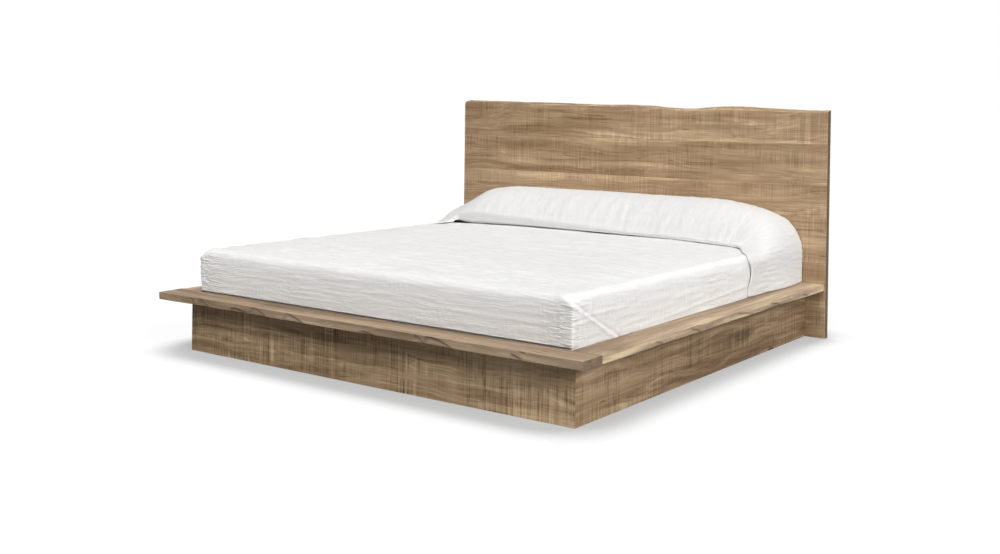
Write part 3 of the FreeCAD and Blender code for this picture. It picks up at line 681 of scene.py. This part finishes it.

# A flake's lip, before its start, and the curve of its upper limit, which wanders a little. Then how
# far below that it has its full depth, and where and how wide the painted shadow under its lip is,
# as shares of the edge
flake_lip_share = 0.25
flake_curve = 1.4
flake_wander = 0.05
flake_wander_scale = 40
flake_slope = 0.25
flake_painted_shadow_below = 0.03
flake_painted_shadow_width = 0.07


def flaked(flakes, along, up, seed):
    """How far the live edge is set in at a place, and how near it is to the painted shadow under a
    flake's lip.
    """
    depth = 0.0
    dark = 0.0
    for start, run, top, deep in flakes:
        share = (along - start) / run
        if -flake_lip_share < share < 1:
            line = top * (1 - share ** flake_curve if share > 0 else 1 + share / flake_lip_share)
            line += flake_wander * wander(along * flake_wander_scale, seed, 0)
            below = line - up
            depth = max(depth, deep * eased(below / flake_slope))
            shown = eased(share * 5) * eased((1 - share) * 4)
            # The dark band is painted shadow, just under the flake's lip
            dark = max(dark, bell(below - flake_painted_shadow_below, flake_painted_shadow_width) * shown)
    ripple = edge_ripple * (wander(along * 9, up * 1.5, seed) + 1)
    return depth + ripple, dark


def ledge_board(node, name, material, ends, side, flakes, seed, paleness):
    """A ledge board with its live edge worked: side is the outward direction in plan, and paleness how
    much sapwood shows on the edge."""
    bm = board_copy(node)
    low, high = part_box(node)
    lengthwise = ALONG if side.x else ACROSS
    start = low.dot(lengthwise)
    end = high.dot(lengthwise)
    cut_across(bm, lengthwise, start, end, int((end - start) / edge_step))
    cut_across(bm, UP, low.z, high.z, edge_rows)
    # The bark layer holds the painted shadow under the flakes' lips
    bark = bm.verts.layers.float.new("bark")
    sapwood = bm.verts.layers.float.new("sapwood")
    reach = max(low.dot(side), high.dot(side))
    for vert in bm.verts:
        if reach - vert.co.dot(side) < edge_face_depth:
            along = vert.co.dot(lengthwise)
            up = (vert.co.z - low.z) / (high.z - low.z)
            depth, vert[bark] = flaked(flakes, along, up, seed)
            vert[sapwood] = paleness * (sapwood_mean + wander(along * 3, up * 2, seed))
            vert.co -= side * depth
            vert.co.z -= edge_rounding * eased((up - edge_rounding_from) / (1 - edge_rounding_from))
    mark_ends(bm, lengthwise)
    return from_bmesh(name, bm, [material, ends], smooth=False)


def live_top_plank(material, ends, bark):
    """The highest plank: its bevel has a timber of its own and is darker away from the board's faces, and
    its live edge isn't quite smooth."""
    bm = board_copy("headboard_plank_6")
    width = board_high.x - board_low.x
    cut_across(bm, ACROSS, board_low.x, board_high.x, int(width / edge_step))
    darkness = bm.verts.layers.float.new("bark")
    bm.normal_update()
    for vert in bm.verts:
        rising = [face for face in vert.link_faces if face.normal.z > bevel_slope]
        if rising and not any(abs(face.normal.y) > 0.99 for face in vert.link_faces):
            vert[darkness] = bevel_darkness
        if vert.co.z > board_high.z - top_edge_depth and abs(vert.co.x) < board_high.x - top_edge_end:
            ripple = wander(vert.co.x * 11, vert.co.y * 30, 2.0)
            vert.co.z -= top_edge_ripple * (ripple + 1)
    for face in bm.faces:
        if face.normal.z > bevel_slope:
            face.material_index = 2
    mark_ends(bm, ACROSS)
    return from_bmesh("headboard_top_plank", bm, [material, ends, bark], smooth=False)


# Cloth
def laid_out(index, spans):
    """The place of a grid line, where each span is a number of cells and their length together."""
    place = 0.0
    for cells, length in spans:
        if index <= cells:
            return place + length * index / cells
        index -= cells
        place += length
    return place


def cloth_grid(columns, rows):
    """A flat grid, with each vertex's column and row."""
    bm = bmesh.new()
    bmesh.ops.create_grid(bm, x_segments=columns, y_segments=rows, size=0.5)
    cells = {vert: ((vert.co.x + 0.5) * columns, (vert.co.y + 0.5) * rows) for vert in bm.verts}
    return bm, cells


def finished_cloth(name, bm, flat_places, material, thickness):
    """Turns a shaped grid into cloth. Each vertex's place on the flat cloth is kept as the UV map that
    the weave follows."""
    layer = bm.loops.layers.uv.new("cloth")
    for face in bm.faces:
        for loop in face.loops:
            loop[layer].uv = flat_places[loop.vert]
    piece = from_bmesh(name, bm, [material])
    wall = piece.modifiers.new("cloth thickness", "SOLIDIFY")
    wall.thickness = thickness
    wall.offset = -1
    return piece


top_half_width = mattress_high.x - side_bulge - roll_radius + cloth_stand_off - roll_lead
foot_line = mattress_low.y + side_bulge + roll_radius - cloth_stand_off + roll_lead
shoulder_height = cloth_high.z - crown_height
roll_length = roll_radius * math.pi / 2
wall_top = shoulder_height - roll_radius
drop_length = roll_lead + roll_length + wall_top - cloth_low.z
tuck_length = ledge_high.z - slot_below_ledge - cloth_low.z
wall_spans = ((wall_cells, drop_length - slot_run - tuck_length),)
tuck_spans = ((tuck_cells, tuck_length), (slot_cells, slot_run))
drop_cells = wall_cells + slot_cells + tuck_cells


def over_the_edge(distance):
    """How far out and how high the coverlet is at a distance past the flat top's edge."""
    if distance < roll_lead:
        return distance, shoulder_height
    if distance < roll_lead + roll_length:
        turn = (distance - roll_lead) / roll_radius
        sunk = roll_radius * (1 - math.cos(turn))
        return roll_lead + roll_radius * math.sin(turn), shoulder_height - sunk
    down = distance - roll_lead - roll_length
    share = down / (wall_top - cloth_low.z)
    bulge = side_bulge * (math.sin(math.pi * min(share * bulge_stretch + bulge_start, 1.0)) - share)
    return roll_lead + roll_radius + bulge, wall_top - down


def crown_at(x, y):
    """How far the top has risen above its shoulder at a place in plan."""
    reach = between(crown_reach, crown_reach_by_pillows, eased((y - crown_change_y) / crown_change_run))
    in_side = min((top_half_width + roll_lead - abs(x)) / reach, 1.0)
    in_foot = min((y - foot_line + roll_lead) / crown_run, 1.0)
    return crown_height * (1 - (1 - in_side) ** crown_power) * (1 - (1 - in_foot) ** crown_power)


def coverlet_place(across, along):
    """Where a place on the flat coverlet comes to lie, which way is outward there in plan, and how far
    the cloth has turned down."""
    past_side = max(abs(across) - top_half_width, 0.0)
    past_foot = max(foot_line - along, 0.0)
    x = max(min(across, top_half_width), -top_half_width)
    y = max(along, foot_line)
    hand = 1 if across > 0 else -1
    distance = max(past_side, past_foot)
    if distance == 0:
        return Vector((x, y, shoulder_height + crown_at(x, y))), Vector((0, 0, 0)), 0.0
    less = min(past_side, past_foot) / distance
    turn = less * math.pi / 4 if past_side >= past_foot else math.pi / 2 - less * math.pi / 4
    outward = Vector((hand * math.cos(turn), -math.sin(turn), 0))
    out, z = over_the_edge(distance)
    turned_down = eased((distance - roll_lead) / roll_length)
    power = between(2.0, corner_power, turned_down ** 3)
    out *= (math.cos(turn) ** power + math.sin(turn) ** power) ** (-1 / power)
    lead_rise = crown_at(x, y) * max(1 - distance / roll_lead, 0.0)
    return Vector((x, y, z + lead_rise)) + outward * out, outward, turned_down


def crinkle(long_way, cross_way, creases):
    """Long shallow creases, with finer ones among them, sharp at the bottom and round on top."""
    height, long_scale, cross_scale, seed = creases
    along = long_way * long_scale
    across = cross_way * cross_scale
    coarse = abs(wander(along, across, seed))
    fine = abs(wander(along * 2.3, across * 2.1, seed + 7))
    return height * (coarse + 0.5 * fine - 0.3)


def corner_fold(place):
    """The folded corner on a side: how far it stands proud of the side at a place, and how far that
    place is behind its edge."""
    back = place.y - cloth_low.y - (cloth_high.x - abs(place.x))
    drop = shoulder_height - ledge_high.z
    line = between(corner_fold_start, corner_fold_reach, (shoulder_height - place.z) / drop)
    slant = math.atan2(drop, corner_fold_reach)
    behind = (back - line) * math.sin(slant)
    band = corner_fold_rise * bell(behind + corner_fold_width, corner_fold_width)
    flap = corner_flap_share * corner_fold_rise * eased(0.5 - behind / corner_flap_run)
    flap *= bell(min(behind, 0.0), corner_flap_fade)
    groove = corner_groove * bell(behind - corner_fold_width, corner_groove_width)
    return band + flap - groove, behind


def coverlet_wrinkles(place, outward, turned_down):
    """How far the cloth stands off its smooth form."""
    on_foot = turned_down * outward.y ** 2
    on_side = turned_down * outward.x ** 2
    back = place.y - cloth_low.y
    near_corner = bell(min(cloth_high.x - abs(place.x), 0.2), corner_crease_reach)
    round_corner = bell(back, corner_crease_wrap)
    height = on_foot * crinkle(place.x, place.z, FOOT_CREASES)
    bunched = on_foot * near_corner + 0.5 * on_side * round_corner
    height += bunched * crinkle(place.x, place.z, CORNER_CREASES)
    height += on_side * crinkle(place.y, place.z, SIDE_CREASES)
    fold, behind = corner_fold(place)
    puckered = eased(behind / corner_flap_run) * bell(max(behind, 0.0), pucker_reach)
    height += on_side * puckered * crinkle(place.z, place.y, FOLD_PUCKERS)
    height += turned_down * eased(abs(outward.x) / 0.5) * fold
    pull_z = ledge_high.z + pull_above_ledge + pull_slope * (back - pull_level_back)
    pulled = on_side * eased((back - pull_start_back) / pull_start_run)
    height += pulled * pull_height * bell(place.z - pull_z, pull_width)
    under_skirt = on_side * eased((place.y - skirt_y) / skirt_run)
    height *= 1 - skirt_flattening * under_skirt
    height -= skirt_dent * under_skirt
    in_slot = eased((ledge_high.z + foot_slot_height - place.z) / foot_slot_height)
    height -= on_foot * foot_slot * in_slot
    on_top = 1 - turned_down
    for creases in TOP_CREASES:
        height += on_top * crinkle(place.x, place.y, creases)
    drift = wander(place.x * top_drift_scale, place.y * top_drift_scale, 6.0)
    return height + on_top * top_drift_height * drift


def coverlet(material):
    """The coverlet: one cloth laid over the mattress and tucked down into the recess."""
    columns = 2 * drop_cells + top_cells_across
    rows = drop_cells + fold_cells + top_cells_along
    middle_span = (top_cells_across, 2 * top_half_width)
    across_spans = tuck_spans + wall_spans + (middle_span,) + wall_spans + tuck_spans[::-1]
    top_length = cloth_high.y - foot_line
    top_spans = ((fold_cells, fold_stretch), (top_cells_along, top_length - fold_stretch))
    along_spans = tuck_spans + wall_spans + top_spans
    half_flat = top_half_width + drop_length
    bm, cells = cloth_grid(columns, rows)
    flat_places = {}
    for vert, (column, row) in cells.items():
        across = laid_out(column, across_spans) - half_flat
        along = laid_out(row, along_spans) + foot_line - drop_length
        place, outward, turned_down = coverlet_place(across, along)
        normal = (Vector((0, 0, 1 - turned_down)) + outward * turned_down).normalized()
        loose = eased((place.z - ledge_low.z) / tuck_fade)
        vert.co = place + normal * coverlet_wrinkles(place, outward, turned_down) * loose
        flat_places[vert] = (across, along)
    piece = finished_cloth("coverlet_cloth", bm, flat_places, material, cloth_thickness)
    soft_piece(piece, "coverlet")
    return piece


def soft_piece(piece, node):
    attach(piece, "bedding")
    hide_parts(node)


def surface_tree(mesh):
    """A mesh's surface, ready to be measured from."""
    bm = bmesh_of(mesh)
    tree = BVHTree.FromBMesh(bm)
    bm.free()
    return tree


cover_half_cells = cover_top_cells + cover_shoulder_cells + cover_side_cells
cover_spans = ((cover_top_cells, 1.0), (cover_shoulder_cells, 1.0), (cover_side_cells, 1.0))


def cover_ray(walk):
    """A ray from outside that meets the pillow cover's section. The walk goes from 0 in the bed's
    middle to 1 where the shoulder starts, 2 where the side starts and 3 at the hem."""
    far = 0.5
    if walk < 1:
        return Vector((shoulder_x * walk, 0, shoulder_z + far)), Vector((0, 0, -1))
    if walk < 2:
        turn = (walk - 1) * math.pi / 2
        out = Vector((math.sin(turn), 0, math.cos(turn)))
        return Vector((shoulder_x, 0, shoulder_z)) + out * far, -out
    hem = cover_low.z + 0.0005
    return Vector((shoulder_x + far, 0, between(shoulder_z, hem, walk - 2))), Vector((-1, 0, 0))


def cover_section(outer, column, y):
    """The place on the cover's outer surface for a column of its grid, at a distance along the bed or
    at the nearest one where the cover reaches that column's ray."""
    hand = 1 if column > cover_half_cells else -1
    start, way = cover_ray(laid_out(abs(column - cover_half_cells), cover_spans))
    start.x *= hand
    way.x *= hand
    for step in range(cover_search_steps):
        hit = outer.ray_cast(Vector((start.x, y + cover_search_step * step, start.z)), way)[0]
        if hit:
            return Vector((hit.x, y, hit.z))
    return None


def crease_line(place):
    """How far along the bed the cover's front edge lies, going by where it is across the bed."""
    out = abs(place.x)
    turned = min(max((out - crease_half_width) / (mattress_high.x - crease_half_width), 0.0), 1.0)
    y = crease_y - skirt_reach * eased(turned) - crease_tilt * place.x * (1 - turned)
    y += crease_wander * wander(place.x * 3, 0, 4.0) * (1 - turned)
    return y + skirt_wave * (bell(place.z - skirt_wave_height, 0.04) - 0.5) * turned ** 4


def turn_under(vert, distance, bed):
    """Draws the cover's front edge in to the bed below, going by the distance from that edge."""
    at_hem = eased((cover_hem_height - vert.co.z) / cover_change_run)
    nose = between(cover_nose, cover_hem_nose, at_hem)
    if distance < nose:
        onto_bed = bed.find_nearest(vert.co)[0] - vert.co
        gap = onto_bed.length
        share = 1 - math.sqrt(1 - (1 - distance / nose) ** 2)
        clearance = cover_clearance * eased((vert.co.z - cover_close_height) / cover_change_run)
        clearance += cover_least_gap + cover_lift * bell(vert.co.x - cover_lift_x, cover_lift_run)
        if gap > clearance:
            vert.co += onto_bed * (1 - clearance / gap) * share


def pillow_cover(material):
    """The length of cover over the pillows: its form is the frame's, drawn in at its crease, with the
    front edge turned under and fine wrinkles over the pillows."""
    outer = surface_tree(nodes["pillow_cover"].data)
    bed = surface_tree(nodes["coverlet"].data)
    columns = 2 * cover_half_cells
    front_edges = []
    for column in range(columns + 1):
        edge = crease_y
        for _ in range(crease_tries):
            edge = (edge + crease_line(cover_section(outer, column, edge))) / 2
        front_edges.append(edge)
    bm, cells = cloth_grid(columns, cover_cells_along)
    flat_places = {}
    edge_distance = {}
    for vert, (column, row) in cells.items():
        column = round(column)
        spread = range(-crease_blend, crease_blend + 1)
        near = [front_edges[min(max(column + i, 0), columns)] for i in spread]
        edge = sum(near) / len(near)
        share = (row / cover_cells_along) ** cover_row_spread
        y = between(edge, cover_high.y - cover_back_gap, share)
        vert.co = settled(cover_section(outer, column, y))
        flat_places[vert] = ((column / cover_half_cells - 1) * cover_across / 2, share * cover_along)
        edge_distance[vert] = y - edge
    inner = [vert for vert in bm.verts if not vert.is_boundary]
    shoulder = [vert for vert in inner if abs(vert.co.x) > shoulder_x and vert.co.z > cover_smooth_above]
    for verts in cover_smoothings * [inner] + shoulder_smoothings * [shoulder]:
        bmesh.ops.smooth_vert(
            bm, verts=verts, factor=0.5, use_axis_x=True, use_axis_y=False, use_axis_z=True,
        )
    bm.normal_update()
    normals = {vert: vert.normal.copy() for vert in bm.verts}
    for vert in bm.verts:
        distance = edge_distance[vert]
        across, along = flat_places[vert]
        reached = distance / cover_swell_reach
        fullness = cover_swell * reached * math.exp(1 - reached) * cover_fullness(vert.co)
        wrinkle = crinkle(along, across, COVER_CREASES) * eased(distance / 0.02)
        wave = wander(across * cover_wave_scale, along * cover_wave_scale, 9.0)
        wave *= cover_wave_height * eased(distance / 0.05)
        vert.co += normals[vert] * (fullness + wrinkle + wave)
        overhang = cover_overhang * bell(distance - cover_overhang_back, cover_overhang_width)
        vert.co.y -= overhang * cover_fullness(vert.co)
        turn_under(vert, distance, bed)
    piece = finished_cloth("pillow_cover_cloth", bm, flat_places, material, cover_thickness)
    soft_piece(piece, "pillow_cover")


def cover_fullness(place):
    """1 where the cover has pillows under it, and 0 on the bed's sides."""
    return eased((mattress_high.x - cover_full_from - abs(place.x)) / cover_full_run)


def settled(place):
    """Lowers what lies at the left end of the pillows towards the bed, and fills out the right end."""
    lowered = settled_share * eased((-place.x - settled_from) / settled_run)
    lowered -= raised_share * bell(place.x - raised_x, raised_run)
    return place - Vector((0, 0, lowered * max(place.z - cloth_high.z, 0.0)))


def padded_piece(node, name, material):
    """A pad's own form, a little smaller where it will swell."""
    bm = bmesh_of(nodes[node].data)
    bmesh.ops.remove_doubles(bm, verts=bm.verts, dist=0.00002)
    for vert in bm.verts:
        vert.co -= vert.normal * pillow_shrink
    piece = from_bmesh(name, bm, [material])
    swell(piece)
    soft_piece(piece, node)


def baked(piece):
    """The piece's mesh as its modifiers leave it."""
    graph = bpy.context.evaluated_depsgraph_get()
    return bpy.data.meshes.new_from_object(piece.evaluated_get(graph))


def swell(piece):
    """Blows a pad up like a filled case, by no more than its limit."""
    remesh = piece.modifiers.new("even mesh", "REMESH")
    remesh.mode = "VOXEL"
    remesh.voxel_size = pillow_voxel
    mesh = baked(piece)
    piece.modifiers.clear()
    piece.data = mesh
    start = [vert.co.copy() for vert in mesh.vertices]
    cloth = piece.modifiers.new("filling", "CLOTH")
    cloth.settings.use_pressure = True
    cloth.settings.uniform_pressure_force = pillow_pressure
    cloth.settings.effector_weights.gravity = 0.0
    cloth.settings.quality = 4
    scene = bpy.context.scene
    for step in range(1, pillow_steps + 1):
        scene.frame_set(step)
    swollen = baked(piece)
    piece.modifiers.clear()
    for vert, before, after in zip(mesh.vertices, start, swollen.vertices):
        move = after.co - before
        if move.length > pillow_swell_limit:
            move *= pillow_swell_limit / move.length
        vert.co = before + move
    scene.frame_set(1)
    for vert in mesh.vertices:
        vert.co = settled(vert.co)
    for face in mesh.polygons:
        face.use_smooth = True
    finer = piece.modifiers.new("finer", "SUBSURF")
    finer.levels = 1
    finer.render_levels = 1


def quilting(place, normal):
    """How far the mattress's quilted cover is drawn in at a place."""
    if abs(normal.z) > top_facing:
        one_way = abs(math.sin(math.pi * (place.x + place.y) / quilt_pitch))
        other_way = abs(math.sin(math.pi * (place.x - place.y) / quilt_pitch))
        return quilt_depth * (1 - min(one_way, other_way) ** 0.5)
    around = place.x if abs(normal.y) > abs(normal.x) else place.y
    channel = quilt_depth * (1 - abs(math.sin(math.pi * around / quilt_pitch)) ** 0.5)
    tape_grooves = bell(place.z - mattress_low.z - tape_groove_low, tape_groove_width)
    tape_grooves += bell(mattress_high.z - tape_groove_high - place.z, tape_groove_width)
    channel *= bell(place.z - (mattress_low.z + mattress_high.z) / 2, border_channel_width)
    return channel + tape_groove_depth * tape_grooves


def kept_under(vert, cloth, least):
    """Draws a vertex in where it isn't at least the given distance inside a cloth's surface."""
    place, normal = cloth.find_nearest(vert.co)[:2]
    depth = (place - vert.co).dot(normal)
    if depth < least:
        vert.co -= normal * (least - depth)


def mattress_pad(material, cloth_piece):
    """The mattress: a quilted top that fills the cloth over it, a channelled border and a groove beside
    each tape edge."""
    cloth = surface_tree(cloth_piece.data)
    bm = board_copy("mattress")
    for axis, step in ((ACROSS, pad_step), (ALONG, pad_step), (UP, pad_step_up)):
        low = mattress_low.dot(axis)
        high = mattress_high.dot(axis)
        cut_across(bm, axis, low, high, int((high - low) / step))
    bm.normal_update()
    for vert in bm.verts:
        drawn_in = least_padding_gap + quilting(vert.co, vert.normal)
        above = cloth.ray_cast(vert.co + UP, -UP)[0]
        if above and vert.normal.z > top_facing:
            vert.co.z = above.z - cloth_thickness - drawn_in
        else:
            vert.co -= vert.normal * drawn_in
        if vert.co.y < cloth_low.y + mattress_slot_back:
            below = ledge_high.z + mattress_slot_top - vert.co.z
            vert.co.y += foot_slot * eased(below / mattress_slot_run)
        kept_under(vert, cloth, cloth_thickness + least_cloth_gap)
    piece = from_bmesh("mattress_pad", bm, [material])
    soft_piece(piece, "mattress")


# Where the light comes from, and what the bed stands on
def sun(name, toward, level, spread):
    """Soft light from far off, from the given direction."""
    lamp = bpy.data.lights.new(name, "SUN")
    lamp.energy = level * math.pi
    lamp.angle = spread
    in_scene(name, lamp).rotation_euler = Vector(toward).to_track_quat("Z", "Y").to_euler()


def show_apart(tree, output, shading, seen):
    """Shows the camera one shader, also in a mirror or through glass, and shades the bed by another."""
    path = add(tree, "LightPath")
    shown = maths("MAXIMUM", path.outputs["Is Camera Ray"], path.outputs["Is Glossy Ray"])
    shown = maths("MAXIMUM", shown, path.outputs["Is Transmission Ray"])
    choice = add(tree, "MixShader", {0: shown, 1: shading.outputs[0], 2: seen.outputs[0]})
    add(tree, output, {"Surface": choice.outputs[0]})


def studio():
    """A pale floor, a white background and soft light, brightest from the bed's right."""
    bm = bmesh.new()
    bmesh.ops.create_grid(bm, x_segments=1, y_segments=1, size=floor_reach)
    bmesh.ops.translate(bm, verts=bm.verts, vec=(0, 0, -floor_drop))
    material, tree, _ = surface("pale_floor")
    tree.nodes.clear()
    lit = add(tree, "BsdfDiffuse", {"Color": floor_seen_colour})
    lean = add(tree, "CombineXYZ", {0: floor_shade_lean, 2: 1.0}).outputs[0]
    shading = add(tree, "AmbientOcclusion", {"Distance": floor_shade_reach, "Normal": lean}, samples=16)
    openness = shading.outputs["AO"]
    glow_level = remap(openness, floor_shade_full, floor_shade_open, floor_glow_shaded, floor_glow)
    glow = add(tree, "Emission", {"Color": (1, 1, 1, 1), "Strength": glow_level})
    seen = add(tree, "AddShader", {0: lit.outputs[0], 1: glow.outputs[0]})
    plain = add(tree, "BsdfDiffuse", {"Color": floor_colour})
    show_apart(tree, "OutputMaterial", plain, seen)
    from_bmesh("floor", bm, [material], smooth=False)

    world = bpy.data.worlds.new("studio")
    bpy.context.scene.world = world
    world.use_nodes = True
    tree = world.node_tree
    tree.nodes.clear()
    toward = add(tree, "TexCoord").outputs["Generated"]
    height = add(tree, "SeparateXYZ", {0: toward}).outputs[2]
    level = remap(height, 0.0, 1.0, horizon_level, zenith_level)
    shade = add(tree, "Background", {"Color": (1, 1, 1, 1), "Strength": level})
    white = add(tree, "Background", {"Color": (1, 1, 1, 1), "Strength": 1.0})
    show_apart(tree, "OutputWorld", shade, white)

    sun("front", (0.144, -0.675, 0.723), front_level, front_spread)
    sun("side", (0.87, -0.19, 0.45), side_level, side_spread)


def camera():
    view = bpy.data.cameras.new("camera")
    view.lens = camera_lens_mm
    view.sensor_width = 36.0
    view.shift_y = camera_shift_y
    holder = in_scene("camera", view)
    level = Euler((math.pi / 2 - camera_pitch, 0, camera_yaw)).to_matrix().to_4x4()
    holder.matrix_world = Matrix.Translation(camera_place) @ level @ Matrix.Rotation(camera_roll, 4, "Z")
    bpy.context.scene.camera = holder


def dress_wood():
    """Gives every timber piece its own stretch of grain."""
    for number in range(1, 6):
        material = sawn_timber("headboard_timber_%d" % number, HEADBOARD_LOOK, "X", number)
        bm = board_copy("headboard_plank_%d" % number)
        soften_arrises(bm, headboard_arris)
        ends = end_grain("headboard_end_%d" % number, HEADBOARD_LOOK, number)
        mark_ends(bm, ACROSS)
        piece = from_bmesh("headboard_board_%d" % number, bm, [material, ends], smooth=False)
        finish_board(piece, "headboard_plank_%d" % number)
    top = live_top_plank(
        sawn_timber("headboard_timber_6", HEADBOARD_LOOK, "X", 6),
        end_grain("headboard_end_6", HEADBOARD_LOOK, 6),
        sawn_timber("headboard_bark_edge", dict(HEADBOARD_LOOK, tone=0.12, saw=0.05), "X", 9),
    )
    finish_board(top, "headboard_plank_6")

    # Node, grain, outward direction, flakes, seed, tone, and how pale the edge is
    ledges = (
        ("ledge_foot", "X", -ALONG, FOOT_FLAKES, 11, -0.16, 0.55),
        ("ledge_left", "Y", -ACROSS, SIDE_FLAKES, 12, -0.09, 1.8),
        ("ledge_right", "Y", ACROSS, SIDE_FLAKES, 13, -0.09, 1.8),
    )
    for node, grain, side, flakes, seed, tone, paleness in ledges:
        timber = sawn_timber(node + "_timber", dict(LEDGE_LOOK, tone=tone), grain, seed)
        ends = end_grain(node + "_end", LEDGE_LOOK, seed)
        piece = ledge_board(node, node + "_board", timber, ends, side, flakes, seed, paleness)
        finish_board(piece, node)

    # Node, grain, seed, saw marks, tone and drift
    panels = (
        # The foot panel's drift darkens it towards its left end: painted shade, as though the ledge's
        # shadow there were deeper
        ("plinth_foot", "X", 21, 1.5, 0.03, (0.15, 0.0)),
        ("plinth_left", "Y", 22, 0.9, -0.06, (0.0, -0.10)),
        ("plinth_right", "Y", 23, 0.9, -0.06, (0.0, -0.10)),
    )
    for node, grain, seed, saw, tone, drift in panels:
        bm = board_copy(node)
        soften_arrises(bm, plinth_arris)
        look = dict(PLINTH_LOOK, saw=saw, tone=tone, drift=drift)
        timber = sawn_timber(node + "_timber", look, grain, seed)
        piece = from_bmesh(node + "_panel", bm, [timber], smooth=False)
        finish_board(piece, node)

    pine = (0.62, 0.45, 0.27, 1)
    oak = (0.50, 0.36, 0.22, 1)
    inner = [("plinth_head_rail", "X"), ("ledger_left", "Y"), ("ledger_right", "Y"), ("centre_beam", "Y")]
    inner += [("slat_%02d" % number, "X") for number in range(1, 14)]
    inner += [("centre_leg_%d" % number, "Z") for number in range(1, 4)]
    corners = ("foot_left", "foot_right", "head_left", "head_right")
    inner += [("corner_block_" + corner, "Z") for corner in corners]
    for seed, (node, grain) in enumerate(inner):
        paint(nodes[node], plain_softwood(node + "_pine", grain, seed * 0.7, pine))
    for seed, side in enumerate(("left", "middle", "right"), 30):
        batten = plain_softwood("batten_%s_pine" % side, "Z", seed, oak)
        paint(nodes["headboard_batten_" + side], batten)
    paint(nodes["dowels"], plain_softwood("dowel_beech", "Z", 40, (0.66, 0.50, 0.32, 1)))


def finish_board(piece, node):
    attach(piece, "bed_frame")
    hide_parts(node)


def paint(node, material):
    """Gives a frame node one material."""
    node.data.materials.clear()
    node.data.materials.append(material)


def dress_metal():
    zinc = plated_steel("zinc_plate", (0.62, 0.62, 0.60, 1), 0.34, 300)
    for node in ("ledge_screws", "ledger_screws", "slat_screws", "hanger_screws", "batten_screws",
                 "headboard_bolts", "headboard_washers", "leg_bolts", "leg_nuts"):
        paint(nodes[node], zinc)
    galvanised = plated_steel("galvanised_sheet", (0.55, 0.56, 0.57, 1), 0.42, 60)
    paint(nodes["beam_hanger_foot"], galvanised)
    paint(nodes["beam_hanger_head"], galvanised)
    blackened = plated_steel("blackened_steel", (0.12, 0.12, 0.125, 1), 0.38, 200)
    for number in range(1, 4):
        paint(nodes["leveller_%d" % number], blackened)
    paint(nodes["threaded_inserts"], plated_steel("turned_brass", (0.72, 0.52, 0.24, 1), 0.3, 350))


studio()
camera()
dress_wood()
dress_metal()
ticking_cloth = quilted_ticking("ticking")
coverlet_gauze = crinkled_gauze(
    "coverlet_gauze", long_scale=6.0, cross_scale=50.0, strength=0.0060, paleness=0.99,
    hanging_share=0.4, shading=1.0, bunched=3.0,
)
mattress_pad(ticking_cloth, coverlet(coverlet_gauze))
for hand in ("left", "right"):
    padded_piece("pillow_" + hand, "plump_pillow_" + hand, ticking_cloth)
# The cover is the coverlet's cloth; its lower paleness is painted shade, which dims the cover as though
# less light fell on the pillows
pillow_cover(crinkled_gauze(
    "pillow_cover_gauze", long_scale=50.0, cross_scale=16.0, strength=0.0015, paleness=0.82,
    hanging_share=0.9, shading=0.4, bunched=1.0,
))

bpy.context.scene.view_settings.view_transform = "Standard"
